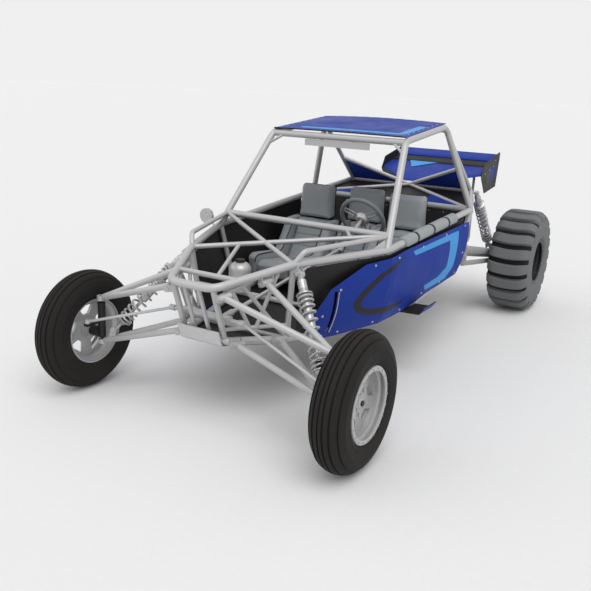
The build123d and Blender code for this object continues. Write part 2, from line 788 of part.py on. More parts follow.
# Front uprights: post, pins on the steering axis, spindle and steering arm
low, high = at(STEER_AXIS_X, 0, BALL_LOW_Z), at(STEER_AXIS_X, 0, BALL_HIGH_Z)
pin_end, post_end = Vector(0, 0, BOSS_H / 2), Vector(0, 0, UPRIGHT_NECK)
spindle = at(STEER_AXIS_X, 0, FRONT_TYRE_R)
hub_face = FRONT_TRACK / 2 + FRONT_FACE - HUB_LONG - STEER_AXIS_X
upright = straight(low + post_end, high - post_end, UPRIGHT_R)
upright = upright + straight(low - pin_end, high + pin_end, PIN_R)
upright = upright + straight(spindle, spindle + Vector(hub_face - SEAT_GAP, 0, 0), SPINDLE_R)
upright = upright + straight(spindle, spindle + Vector(hub_face + HUB_LONG + AXLE_PROUD, 0, 0), AXLE_R)
arm_half, arm_long = PIN_R + STEERING_ARM_WALL, STEERING_ARM + PIN_R + STEERING_ARM_WALL
arm_plate = Solid.make_box(2 * arm_half, arm_long, STEERING_ARM_T)
arm_corner = at(STEER_AXIS_X, 0, STEERING_ARM_Z) - Vector(arm_half, arm_long, STEERING_ARM_T)
upright = (upright + arm_plate.moved(Location(arm_corner))).solid()
for name, side in SIDES.items():
    keep("knuckle_" + name, upright if side > 0 else mirrored(upright))


def clevis(eye, bolt, toward, length, half=EYE_HALF):
    """Two cheeks beside an eye, each a tongue towards what carries it, and the bolt through them."""
    end = half + SEAT_GAP + CHEEK
    piece = straight(eye - bolt * end, eye + bolt * end, BOLT_R)
    for sign in (1, -1):
        base = eye + bolt * (sign * (half + SEAT_GAP) - (CHEEK if sign < 0 else 0))
        plane = Plane(origin=base, x_dir=toward, z_dir=bolt)
        tongue = plane * (Circle(EYE_R) + Pos(length / 2, 0) * Rectangle(length, 2 * EYE_R))
        head = straight(eye + bolt * sign * end, eye + bolt * sign * (end + BOLT_HEAD_T), BOLT_HEAD_R)
        piece = piece + extrude(tongue, CHEEK).solid() + head
    return piece.solid()


def bored(solid, point, axis, radius=BOLT_R + SEAT_GAP):
    """A hole through a piece, on an axis through a point."""
    reach = axis * (BARREL_HALF + 2 * CHEEK)
    return solid - straight(point - reach, point + reach, radius)


def square_to(direction, axis):
    """The part of a direction that is square to an axis, as a unit vector."""
    axis = axis.normalized()
    return (direction - axis * direction.dot(axis)).normalized()


# Front arms: a boss round the pin, two legs and the inner barrels
def front_arm(outer, inners):
    arm = straight(outer - pin_end, outer + pin_end, BOSS_R)
    pivot = (inners[1] - inners[0]).normalized() * BARREL_HALF
    for inner in inners:
        leg_end = past(inner, outer, WELD_GAP - BOSS_R)
        arm = arm + straight(inner - pivot, inner + pivot, BARREL_R) + straight(inner, leg_end, ARM_R)
    for inner in inners:
        arm = bored(arm, inner, pivot.normalized())
    return bored(arm, outer, Vector(0, 0, 1), PIN_R + SEAT_GAP)


UP_Y, UP_X, UP_Z = Vector(0, 1, 0), Vector(1, 0, 0), Vector(0, 0, 1)
upper_inners = [at(*UPPER_FRONT), at(*UPPER_REAR)]
lower_inners = [at(*LOWER_FRONT), at(*LOWER_REAR)]
shock_low = along(low, lower_inners[1], SHOCK_SHARE) + UP_Z * EYE_LIFT
shock_high = joint("tower_top") + Vector(EYE_OUT, 0, -EYE_OUT)
front_bolt = square_to(UP_Y, shock_high - shock_low)
upper_arm = biggest(front_arm(high, upper_inners))
shock_foot = clevis(shock_low, front_bolt, square_to(-UP_Z, front_bolt), EYE_LIFT)
lower_arm = front_arm(low, lower_inners) + shock_foot
lower_arm = biggest(bored(lower_arm, low, UP_Z, PIN_R + SEAT_GAP))
keep("front_upper_arms", *both_sides(clear_of_frame(upper_arm)))
keep("front_lower_arms", *both_sides(clear_of_frame(lower_arm)))


# Brackets from the frame to the inner barrels
def rail_point(names, y):
    x_rail, z_rail = rail_at(names, y)
    return at(x_rail, y, z_rail)


nose_anchor = along(joint("nose_top"), joint("nose_low"), NOSE_BRACKET_SHARE)
brackets = []
for inners, anchors in (
    (upper_inners, [nose_anchor, rail_point(UPPER_LINE, UPPER_REAR[1])]),
    (lower_inners, [rail_point(LOWER_LINE, LOWER_FRONT[1]), rail_point(LOWER_LINE, LOWER_REAR[1])]),
):
    pivot = (inners[1] - inners[0]).normalized()
    for inner, anchor in zip(inners, anchors):
        reach = anchor - inner
        bracket = clevis(inner, pivot, square_to(reach, pivot), reach.length, BARREL_HALF)
        brackets += both_sides(clear_of_frame(bracket))
keep("arm_brackets", *brackets)


def shock(top, bottom, bolt):
    """A coil-over: eyes, damper body, rod, spring seats and the coils as ridges, in one piece."""
    length = (bottom - top).length
    pitch = (SPRING_TO - SPRING_FROM) * length / COILS
    start, end = SPRING_FROM * length, SPRING_TO * length
    rows = [(0, 0), (ROD_R, 0), (ROD_R, DAMPER_FROM * length), (DAMPER_R, DAMPER_FROM * length)]
    rows += [(DAMPER_R, start - SPRING_SEAT), (SPRING_R, start - SPRING_SEAT), (SPRING_R, start)]
    for coil in range(COILS):
        middle = start + (coil + 0.5) * pitch
        rows.append((SPRING_R - SPRING_WIRE, middle - pitch / 2))
        rows += [(SPRING_R, middle - pitch / 4), (SPRING_R, middle + pitch / 4)]
    rows += [(SPRING_R - SPRING_WIRE, end), (SPRING_R, end), (SPRING_R, end + SPRING_SEAT)]
    rows += [(ROD_R, end + SPRING_SEAT), (ROD_R, length), (0, length)]
    profile = Face(Wire.make_polygon([Vector(radius, 0, z) for radius, z in rows], close=True))
    damper = Solid.revolve(profile, 360, Axis.Z).moved(Plane(origin=top, z_dir=bottom - top).location)
    for point in (top, bottom):
        damper = damper + straight(point - bolt * EYE_HALF, point + bolt * EYE_HALF, EYE_R)
    for point in (top, bottom):
        damper = bored(damper, point, bolt)
    return damper.solid()


front_shock = shock(shock_high, shock_low, front_bolt)
keep("front_shocks", *both_sides(front_shock))
rear_high = joint("rear_tower") + Vector(*REAR_EYE_SET)
rear_low = at(*REAR_SHOCK_LOW)
rear_bolt = square_to(UP_X, rear_high - rear_low)
rear_shock = shock(rear_high, rear_low, rear_bolt)
keep("rear_shocks", *both_sides(rear_shock))

# Upper shock mounts: a clevis at the front, a stud with a washer at the rear
reach = joint("tower_top") - shock_high
front_mount = clevis(shock_high, front_bolt, square_to(reach, front_bolt), reach.length)
washer = rear_high + rear_bolt * (EYE_HALF + SEAT_GAP)
rear_mount = straight(rear_high - rear_bolt * REAR_EYE_SET[0], washer, BOLT_R)
rear_mount = rear_mount + straight(washer, washer + rear_bolt * BOLT_HEAD_T, BOLT_HEAD_R)
rear_mount = clear_of_frame(rear_mount.solid())
keep("shock_mounts", *both_sides(clear_of_frame(front_mount)), *both_sides(rear_mount))

# Rear trailing arms: pivot barrels on one line, three tubes and the bearing housing
hub = at(0, DRAWN_WHEELBASE, REAR_TYRE_R)
pivot = joint("arm_bay") + Vector(0, MAIN_R + BARREL_R + SEAT_GAP, 0)
outer_pivot, inner_pivot = Vector(PIVOT_OUT, pivot.Y, pivot.Z), Vector(PIVOT_IN, pivot.Y, pivot.Z)
carrier = hub + UP_X * CARRIER_X
arm = straight(carrier - UP_X * CARRIER_HALF, carrier + UP_X * CARRIER_HALF, CARRIER_R)
for point in (outer_pivot, inner_pivot):
    arm = arm + straight(point - UP_X * TRAIL_BARREL_HALF, point + UP_X * TRAIL_BARREL_HALF, BARREL_R)
for radius, (rise, hub_rise) in ((TRAIL_R, TRAIL_TOP_RISE), (TRAIL_LOW_R, TRAIL_LOW_RISE)):
    arm = arm + straight(outer_pivot + UP_Z * rise, carrier + UP_Z * hub_rise, radius)
arm = arm + straight(inner_pivot, carrier, TRAIL_LOW_R)
pivot_plate = Wire.make_polygon([Vector(0, y, z) for y, z in TRAIL_PLATE], close=True)
pivot_plate = Solid.extrude(Face(pivot_plate), Vector(TRAIL_PLATE_T, 0, 0))
arm = arm + pivot_plate.moved(Location(outer_pivot - UP_X * TRAIL_PLATE_T / 2))
arm = arm + clevis(rear_low, rear_bolt, square_to(-UP_Z, rear_bolt), REAR_EYE_LIFT)
arm = arm - straight(hub, hub + UP_X * REAR_TRACK / 2, CARRIER_BORE)
keep("trailing_arms", *both_sides(clear_of_frame(biggest(arm))))


# Engine: block with its sump, head, cam covers, pulleys and the bar that carries it
def front_view(outline, y_from, y_to):
    """A symmetric front view outline of x, z points, extruded rearwards."""
    points = [at(x, y_from, z) for x, z in outline] + [at(-x, y_from, z) for x, z in outline[::-1]]
    face = Face(Wire.make_polygon(points, close=True))
    return Solid.extrude(face, at(0, y_to, 0) - at(0, y_from, 0))


def lengthwise(x, z, y_from, y_to, radius):
    return straight(at(x, y_from, z), at(x, y_to, z), radius)


engine = front_view(BLOCK_OUTLINE, ENGINE_FRONT, ENGINE_REAR)
engine = engine + front_view(HEAD_OUTLINE, ENGINE_FRONT, ENGINE_REAR)
for side in (1, -1):
    engine = engine + lengthwise(side * CAM_X, CAM_Z, ENGINE_FRONT, ENGINE_REAR, CAM_R)
for x, z, radius in ENGINE_PULLEYS:
    engine = engine + lengthwise(x, z, ENGINE_FRONT - PULLEY_T, ENGINE_FRONT, radius)
bar_y, bar_z = JOINTS["arm_bay"][1:]
mount = at(-MOUNT_W / 2, bar_y, bar_z - MOUNT_T / 2)
mount_long = at(0, ENGINE_FRONT, 0).Y - mount.Y + MOUNT_T
engine = engine + Solid.make_box(MOUNT_W, mount_long, MOUNT_T).moved(Location(mount))
keep("engine", clear_of_frame(engine.solid()))

# Inlet plenum with its runners on the right, exhaust with its collector and muffler on the left
intake = lengthwise(PLENUM_X, PLENUM_Z, PORTS[0] - 2 * PORT_R, PORTS[-1] + 2 * PORT_R, PLENUM_R)
exhaust = lengthwise(COLLECTOR_X, COLLECTOR_Z, PORTS[0] - 2 * PORT_R, MUFFLER_Y[0] - MUFFLER_R, COLLECTOR_R)
head_x = HEAD_OUTLINE[-1][0] + SEAT_GAP
for y in PORTS:
    intake = intake + straight(at(-head_x, y, PORT_Z), at(PLENUM_X, y, PLENUM_Z), PORT_R)
    exhaust = exhaust + straight(at(head_x, y, PORT_Z), at(COLLECTOR_X, y, COLLECTOR_Z), PORT_R)
down_end = at(COLLECTOR_X, MUFFLER_Y[0] - MUFFLER_R, COLLECTOR_Z)
exhaust = exhaust + straight(down_end, at(MUFFLER_X, MUFFLER_Y[0], MUFFLER_Z), COLLECTOR_R)
exhaust = exhaust + lengthwise(MUFFLER_X, MUFFLER_Z, *MUFFLER_Y, MUFFLER_R)
keep("intake", (intake - engine).solid())
keep("exhaust", (exhaust - engine).solid())

# Transaxle behind the engine
gearbox_top = JOINTS["tail_low"][2] - BRACE_R - SEAT_GAP
gearbox = [(90, gearbox_top), (130, gearbox_top - GEARBOX_SHOULDER), (110, GEARBOX_Z)]
gearbox = front_view(gearbox, ENGINE_REAR + SEAT_GAP, GEARBOX_REAR)
gearbox = gearbox + straight(hub - UP_X * SHAFT_END, hub + UP_X * SHAFT_END, CV_R)
keep("transaxle", clear_of_frame(gearbox.solid()))

# Rear wing: raked main plane and flap cut to one plan, end plates and the struts to the frame
plan = plan_prism(WING_PLAN, 0, 2 * WING_HALF + REAR_TYRE_R)
wing = None
for outline in (WING_MAIN, WING_FLAP):
    blade = side_prism(outline, -WING_HALF, WING_HALF) & plan
    wing = blade if wing is None else wing + blade
for side in (1, -1):
    wing = wing + side_prism(WING_END, side * WING_HALF, side * (WING_HALF + WING_PLATE))
for side in (1, -1):
    for foot, (x, y, z) in (
        (tower_bar_mid + UP_X * side * STRUT_X, STRUT_TOP), (joint("tail_top", side), REAR_STRUT_TOP),
    ):
        wing = wing + straight(foot, at(side * x, y, z), SLIM_R)
keep("rear_wing", clear_of_frame(wing.solid()))


# Seats: base, back and headrest from one side view, with raised bolsters
def seat(x, y_shift, width, bolster):
    def part(outline, half_from, half_to):
        moved = [(y + y_shift, z) for y, z in outline]
        return side_prism(moved, x + half_from, x + half_to)
    body = part(SEAT_BODY, -width / 2, width / 2) + part(SEAT_HEAD, -HEAD_W / 2, HEAD_W / 2)
    for side in (1, -1):
        edges = sorted((side * width / 2, side * (width / 2 - bolster)))
        body = body + part(SEAT_BOLSTER, *edges)
        for foot_y in SEAT_FEET:
            y = foot_y + y_shift
            floor_z = rail_at(LOWER_LINE, y + FOOT_R)[1] - MAIN_R
            foot_x = x + side * (width / 2 - bolster)
            body = body + straight(at(foot_x, y, floor_z), at(foot_x, y, SEAT_BOTTOM + FOOT_R), FOOT_R)
    return body.solid()


keep("front_seats", *(seat(side * SEAT_X, 0, SEAT_W, BOLSTER) for side in (1, -1)))
keep("rear_seat", seat(0, REAR_SEAT_Y, REAR_SEAT_W, REAR_BOLSTER))

# Rack, tie rods and the rack housing, clamped to the nose posts
rack_mid = at(0, RACK_Y, RACK_Z)
tilt = math.radians(WHEEL_TILT)
axis = Vector(0, math.cos(tilt), math.sin(tilt))
wheel_mid = at(*WHEEL_MID)
shaft_end = wheel_mid - axis * SHAFT_LONG
joint_at = shaft_end - axis * SHAFT_GAP
pinion = rack_mid + Vector(PINION_X, RACK_R / 2, 0)
pinion_top = past(joint_at, pinion, -PINION_H)
housing = straight(rack_mid - UP_X * RACK_HALF, rack_mid + UP_X * RACK_HALF, RACK_R)
for side in (1, -1):
    post = along(joint("nose_top", side), joint("nose_low", side), RACK_FOOT_SHARE)
    foot = Solid.make_box(RACK_FOOT, rack_mid.Y - post.Y + RACK_R, RACK_FOOT)
    foot_corner = Vector(post.X - RACK_FOOT / 2, post.Y, RACK_Z - RACK_FOOT / 2)
    housing = housing + foot.moved(Location(foot_corner))
housing = housing + straight(pinion, pinion_top, COLUMN_R + SLEEVE_WALL)
housing = housing - straight(rack_mid - UP_X * TIE_IN, rack_mid + UP_X * TIE_IN, RACK_BAR_R + SEAT_GAP)
keep("rack_housing", clear_of_frame(biggest(housing)))
rack = straight(rack_mid - UP_X * TIE_IN, rack_mid + UP_X * TIE_IN, RACK_BAR_R)
eye_z = STEERING_ARM_Z + TIE_EYE_H / 2 + SEAT_GAP
for side in (1, -1):
    end = at(side * STEER_AXIS_X, -STEERING_ARM, eye_z)
    inner = rack_mid + UP_X * side * TIE_IN
    rack = rack + straight(inner, end, TIE_R)
    rack = rack + straight(end - UP_Z * TIE_EYE_H / 2, end + UP_Z * TIE_EYE_H / 2, TIE_EYE_R)
    rack = rack + straight(inner - UP_X * TIE_BALL_R, inner + UP_X * TIE_BALL_R, TIE_BALL_R)
keep("steering_rack", rack.solid())

# Steering wheel with its shaft, and the column that holds it
wheel_plane = Plane(origin=wheel_mid, z_dir=axis, x_dir=(1, 0, 0))
ring = Solid.make_torus(WHEEL_R - GRIP_R, GRIP_R, wheel_plane)
wheel = ring + straight(wheel_mid - axis * HUB_FRONT, wheel_mid + axis * HUB_BACK, WHEEL_HUB_R)
wheel = wheel + straight(wheel_mid, shaft_end, COLUMN_R)
for angle in WHEEL_SPOKES:
    angle = math.radians(angle)
    reach = wheel_plane.x_dir * math.cos(angle) + wheel_plane.y_dir * math.sin(angle)
    spoke_end = wheel_mid + reach * (WHEEL_R - GRIP_R)
    wheel = wheel + straight(wheel_mid - axis * WHEEL_SPOKE_R, spoke_end, WHEEL_SPOKE_R)
keep("steering_wheel", wheel.solid())

sleeve_top, sleeve_end = (along(wheel_mid, shaft_end, share) for share in SLEEVE)
column = straight(sleeve_top, sleeve_end, COLUMN_R + SLEEVE_WALL)
hang = joint("cowl_top")
hang = Vector(wheel_mid.X, hang.Y, hang.Z)
column = column + straight(hang, hang - UP_Z * HANGER_LONG, HANGER_R)
column = column - straight(wheel_mid, shaft_end - axis * SHAFT_LONG, COLUMN_R + SEAT_GAP)
column = clear_of_frame(biggest(column))
lower_end = past(joint_at, pinion_top, -SEAT_GAP)
lower = straight(joint_at, lower_end, COLUMN_R)
lower = lower + straight(joint_at, joint_at - axis * COUPLING_LONG, COLUMN_R + COUPLING_WALL)
keep("steering_column", column, lower.solid())

# Fluid reservoir on its shelf tube
shelf = along(*shelf_ends, 0.5)
base = Vector(RESERVOIR_X, shelf.Y, shelf.Z + BRACE_R + SEAT_GAP)
tank = straight(base, base + UP_Z * RESERVOIR_H, RESERVOIR_R)
tank = tank.fillet(RESERVOIR_ROUND, [tank.edges().sort_by(Axis.Z)[-1]])
keep("reservoir", tank)

# Cabin mirror under the front roof tube, and the round mirror on the right rail
bar = joint("roof_front")
glass = Solid.make_box(MIRROR_W, MIRROR_T, MIRROR_H)
glass = glass.moved(Location(Vector(-MIRROR_W / 2, bar.Y - MIRROR_T / 2, bar.Z - MIRROR_DROP - MIRROR_H)))
for side in (1, -1):
    hanger = Vector(side * MIRROR_W / 4, bar.Y, bar.Z)
    glass = glass + straight(hanger, hanger - UP_Z * (MIRROR_DROP + SHEET), MIRROR_STEM_R)
keep("cabin_mirror", clear_of_frame(glass.solid()))
x_rail, z_rail = rail_at(UPPER_LINE, SIDE_MIRROR[1])
mirror = at(*SIDE_MIRROR)
head = straight(mirror - UP_Y * SIDE_MIRROR_T / 2, mirror + UP_Y * SIDE_MIRROR_T / 2, SIDE_MIRROR_R)
head = head + straight(at(-x_rail, SIDE_MIRROR[1], z_rail), mirror, MIRROR_STEM_R)
keep("side_mirror", clear_of_frame(head.solid()))


# Padded rest: a sleeve over the left rail, open underneath
rest_ends = [rail_point(UPPER_LINE, y) for y in REST_Y]
rest = straight(*rest_ends, REST_R)
under = [(y, rail_at(UPPER_LINE, y)[1] - drop) for y, drop in (
    (REST_Y[0] - REST_R, REST_UNDER), (REST_Y[1] + REST_R, REST_UNDER),
    (REST_Y[1] + REST_R, 2 * REST_R), (REST_Y[0] - REST_R, 2 * REST_R),
)]
rest = rest - side_prism(under, 0, FLOOR_WIDE)
keep("arm_rest", clear_of_frame(biggest(rest)))

# Side steps: a turned-up tread that stands out from the lower rail
x_in, step_z = rail_at(LOWER_LINE, sum(STEP_Y) / 2)
tread = [(x_in + STEP_IN, 0)] + STEP_TREAD + [(x_in + STEP_IN, STEP_T)]
tread = [(x, step_z - STEP_DROP + rise) for x, rise in tread]
step = Solid.extrude(section_face(STEP_Y[0], tread), at(0, STEP_Y[1], 0) - at(0, STEP_Y[0], 0))
keep("side_steps", *both_sides(clear_of_frame(step)))

for part_name, shape in parts.items():
    export_step(shape, "parts/" + part_name + ".step")
print(len(parts), "nodes")
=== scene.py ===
# %% [markdown]
# A sand buggy is a cage of bent steel tube with wheels far out at its corners.
# Every welded, bolted or turning piece comes from the frame model, so this lesson
# adds what a model of solids can't hold: finishes, stitched seats, wound springs
# and the small fittings. We start by loading the frame and noting how big it is.

import json
import math

import bmesh
import bpy
from mathutils import Matrix, Vector


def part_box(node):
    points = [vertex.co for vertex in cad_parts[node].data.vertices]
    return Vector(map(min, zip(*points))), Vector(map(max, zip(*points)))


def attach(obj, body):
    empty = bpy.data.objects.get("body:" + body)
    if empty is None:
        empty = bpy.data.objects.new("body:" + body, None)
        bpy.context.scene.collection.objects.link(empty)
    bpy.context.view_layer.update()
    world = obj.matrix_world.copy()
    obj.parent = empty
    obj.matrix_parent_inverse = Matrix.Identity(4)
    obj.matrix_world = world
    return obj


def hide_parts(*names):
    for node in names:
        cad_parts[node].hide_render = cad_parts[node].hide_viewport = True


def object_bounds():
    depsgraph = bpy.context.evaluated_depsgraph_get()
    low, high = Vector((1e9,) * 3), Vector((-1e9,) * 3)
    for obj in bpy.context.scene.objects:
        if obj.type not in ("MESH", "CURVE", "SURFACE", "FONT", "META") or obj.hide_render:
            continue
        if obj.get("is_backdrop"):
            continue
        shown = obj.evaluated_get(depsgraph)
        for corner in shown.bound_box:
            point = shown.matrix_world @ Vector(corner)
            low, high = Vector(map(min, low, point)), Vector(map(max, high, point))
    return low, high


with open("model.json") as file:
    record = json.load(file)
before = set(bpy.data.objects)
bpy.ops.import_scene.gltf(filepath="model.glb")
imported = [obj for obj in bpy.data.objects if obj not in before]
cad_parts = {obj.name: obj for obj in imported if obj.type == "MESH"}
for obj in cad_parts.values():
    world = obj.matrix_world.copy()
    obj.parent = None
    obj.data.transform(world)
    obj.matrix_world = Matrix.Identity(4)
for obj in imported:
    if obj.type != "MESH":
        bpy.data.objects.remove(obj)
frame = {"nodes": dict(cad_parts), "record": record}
cad_low, cad_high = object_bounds()
nodes = frame["nodes"]

# %% [markdown]
# Distances are easier to read from the front axle, as a chassis drawing gives them.
# The model's own origin is midway between the ends of the tyres, so one helper
# turns "so many millimetres behind the front axle" into Blender's metres.

# %% Places measured from the front axle
FRONT_AXLE_Y = sum(corner.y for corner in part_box("front_rim_left")) / 2
MM = 0.001
UP = Vector((0, 0, 1))
LEFT = Vector((1, 0, 0))
BACK = Vector((0, 1, 0))


def at(x, y, z):
    """Millimetres from the front axle, at ground height, as a point in metres."""
    return Vector((x * MM, y * MM + FRONT_AXLE_Y, z * MM))


print("front axle at y =", round(FRONT_AXLE_Y, 4))

# %% [markdown]
# The camera comes early, because everything else is judged through it. It stands
# left of the nose, at eye height, tilts down a little and is held not quite
# level. Yaw, pitch and roll say just that.

# %% The camera
CAMERA_PLACE = (2219, -2889, 1751)
CAMERA_YAW = -30.35
CAMERA_PITCH = -15.83
CAMERA_ROLL = 2.49
CAMERA_LENS = 44.63
SENSOR_WIDTH = 36
VIEW_END = 400


def add_object(name, data):
    """Puts a camera, a lamp or a mesh into the scene as an object."""
    made = bpy.data.objects.new(name, data)
    bpy.context.scene.collection.objects.link(made)
    return made


def build_camera():
    """Stands the camera at its place and makes it the scene's own."""
    data = bpy.data.cameras.new("front_quarter_camera")
    data.lens = CAMERA_LENS
    data.sensor_width = SENSOR_WIDTH
    data.clip_end = VIEW_END
    camera = add_object("front_quarter_camera", data)
    yaw = Matrix.Rotation(math.radians(-CAMERA_YAW), 4, "Z")
    pitch = Matrix.Rotation(math.radians(90 + CAMERA_PITCH), 4, "X")
    roll = Matrix.Rotation(math.radians(CAMERA_ROLL), 4, "Z")
    camera.matrix_world = Matrix.Translation(at(*CAMERA_PLACE)) @ yaw @ pitch @ roll
    bpy.context.scene.camera = camera


build_camera()

# %% [markdown]
# A material is a small network. Two groups carry the detail that every finish
# needs: "fine_grain" gives a fine pattern in the object's own coordinates, with a
# normal that makes it stand up, and "dust_mask" says where sand settles, which is
# on faces that look up and low down. Each finish then only picks numbers.

# %% Node helpers and the two groups
GRAIN_HEIGHT = 0.0006
PATCH_SCALE = 5.0
DUST = (0.46, 0.38, 0.27, 1)


def put(tree, kind, settings=None, inputs=None):
    """Adds a node, sets its properties, and sets or links its inputs by name."""
    node = tree.nodes.new(kind)
    for name, value in (settings or {}).items():
        setattr(node, name, value)
    for name, value in (inputs or {}).items():
        if isinstance(value, bpy.types.NodeSocket):
            tree.links.new(value, node.inputs[name])
        else:
            node.inputs[name].default_value = value
    return node


def new_group(name, inputs, outputs):
    """An empty group with named sockets, and its input and output nodes."""
    tree = bpy.data.node_groups.new(name, "ShaderNodeTree")
    for label, kind in inputs:
        tree.interface.new_socket(label, in_out="INPUT", socket_type=kind)
    for label, kind in outputs:
        tree.interface.new_socket(label, in_out="OUTPUT", socket_type=kind)
    return tree, tree.nodes.new("NodeGroupInput"), tree.nodes.new("NodeGroupOutput")


def build_fine_grain():
    """Fine noise that stands up as a bump, and broad patches for wear and dust."""
    tree, given, result = new_group(
        "fine_grain",
        [("Scale", "NodeSocketFloat"), ("Stretch", "NodeSocketVector"), ("Bump", "NodeSocketFloat")],
        [("Grain", "NodeSocketFloat"), ("Patches", "NodeSocketFloat"), ("Normal", "NodeSocketVector")],
    )
    place = put(tree, "ShaderNodeTexCoord")
    spread = put(tree, "ShaderNodeVectorMath", {"operation": "MULTIPLY"})
    tree.links.new(place.outputs["Object"], spread.inputs[0])
    tree.links.new(given.outputs["Stretch"], spread.inputs[1])
    grain = put(tree, "ShaderNodeTexNoise", None, {
        "Vector": spread.outputs[0], "Scale": given.outputs["Scale"], "Detail": 3.0, "Roughness": 0.6,
    })
    patches = put(tree, "ShaderNodeTexNoise", None, {
        "Vector": place.outputs["Object"], "Scale": PATCH_SCALE, "Detail": 5.0, "Roughness": 0.62,
    })
    bump = put(tree, "ShaderNodeBump", None, {
        "Height": grain.outputs["Fac"], "Strength": given.outputs["Bump"], "Distance": GRAIN_HEIGHT,
    })
    tree.links.new(grain.outputs["Fac"], result.inputs["Grain"])
    tree.links.new(patches.outputs["Fac"], result.inputs["Patches"])
    tree.links.new(bump.outputs["Normal"], result.inputs["Normal"])
    return tree


def build_dust_mask():
    """More on faces that look up and near the ground, broken up by the patches."""
    tree, given, result = new_group(
        "dust_mask", [("Amount", "NodeSocketFloat"), ("Patches", "NodeSocketFloat")],
        [("Mask", "NodeSocketFloat")],
    )
    place = put(tree, "ShaderNodeTexCoord")
    facing = put(tree, "ShaderNodeSeparateXYZ", None, {0: place.outputs["Normal"]})
    height = put(tree, "ShaderNodeSeparateXYZ", None, {0: place.outputs["Object"]})
    on_top = put(tree, "ShaderNodeMapRange", None, {
        "Value": facing.outputs["Z"], "From Min": 0.3, "From Max": 1.0, "To Max": 0.5,
    })
    low = put(tree, "ShaderNodeMapRange", None, {
        "Value": height.outputs["Z"], "From Min": 0.65, "From Max": 0.1, "To Max": 0.7,
    })
    both = put(tree, "ShaderNodeMath", {"operation": "ADD"}, {0: on_top.outputs[0], 1: low.outputs[0]})
    broken = put(tree, "ShaderNodeMapRange", None, {
        "Value": given.outputs["Patches"], "From Min": 0.4, "From Max": 0.7,
    })
    mask = put(tree, "ShaderNodeMath", {"operation": "MULTIPLY"}, {0: both.outputs[0], 1: broken.outputs[0]})
    final = put(tree, "ShaderNodeMath", {"operation": "MULTIPLY", "use_clamp": True}, {
        0: mask.outputs[0], 1: given.outputs["Amount"],
    })
    tree.links.new(final.outputs[0], result.inputs["Mask"])
    return tree


FINE_GRAIN = build_fine_grain()
DUST_MASK = build_dust_mask()


def finish(name, colour, roughness, metallic=0.0, grain=500, stretch=(1, 1, 1), bump=0.25,
           shade=0.12, uneven=0.1, dust=0.08, specular=0.5):
    """A material: colour and roughness vary with the grain, and dust lies where it would."""
    material = bpy.data.materials.new(name)
    material.use_nodes = True
    tree = material.node_tree
    shader = tree.nodes["Principled BSDF"]
    fine = put(tree, "ShaderNodeGroup", {"node_tree": FINE_GRAIN}, {
        "Scale": float(grain), "Stretch": stretch, "Bump": bump,
    })
    dusty = put(tree, "ShaderNodeGroup", {"node_tree": DUST_MASK}, {
        "Amount": dust, "Patches": fine.outputs["Patches"],
    })
    ramp = put(tree, "ShaderNodeValToRGB", None, {"Fac": fine.outputs["Grain"]})
    ramp.color_ramp.elements[0].position = 0.3
    ramp.color_ramp.elements[0].color = (*[c * (1 - shade) for c in colour], 1)
    ramp.color_ramp.elements[1].position = 0.7
    ramp.color_ramp.elements[1].color = (*[c * (1 + shade) for c in colour], 1)
    mixed = put(tree, "ShaderNodeMix", {"data_type": "RGBA"}, {"Factor": dusty.outputs["Mask"]})
    tree.links.new(ramp.outputs["Color"], mixed.inputs["A"])
    mixed.inputs["B"].default_value = DUST
    dull = put(tree, "ShaderNodeMapRange", None, {
        "Value": fine.outputs["Patches"], "From Min": 0.3, "From Max": 0.7,
        "To Min": max(roughness - uneven, 0.05), "To Max": min(roughness + uneven, 1.0),
    })
    tree.links.new(mixed.outputs["Result"], shader.inputs["Base Color"])
    tree.links.new(dull.outputs[0], shader.inputs["Roughness"])
    tree.links.new(fine.outputs["Normal"], shader.inputs["Normal"])
    shader.inputs["Metallic"].default_value = metallic
    shader.inputs["Specular IOR Level"].default_value = specular
    return material


# %% [markdown]
# Powder coat is smooth with a faint orange peel, vinyl has a pebbled grain, rubber
# is dull, and machined metal shows fine lines along one direction, which a grain
# stretched along that axis gives. The colours are those of the picture. The blue
# reflects little, because a strong reflection of a pale sky would wash it out.

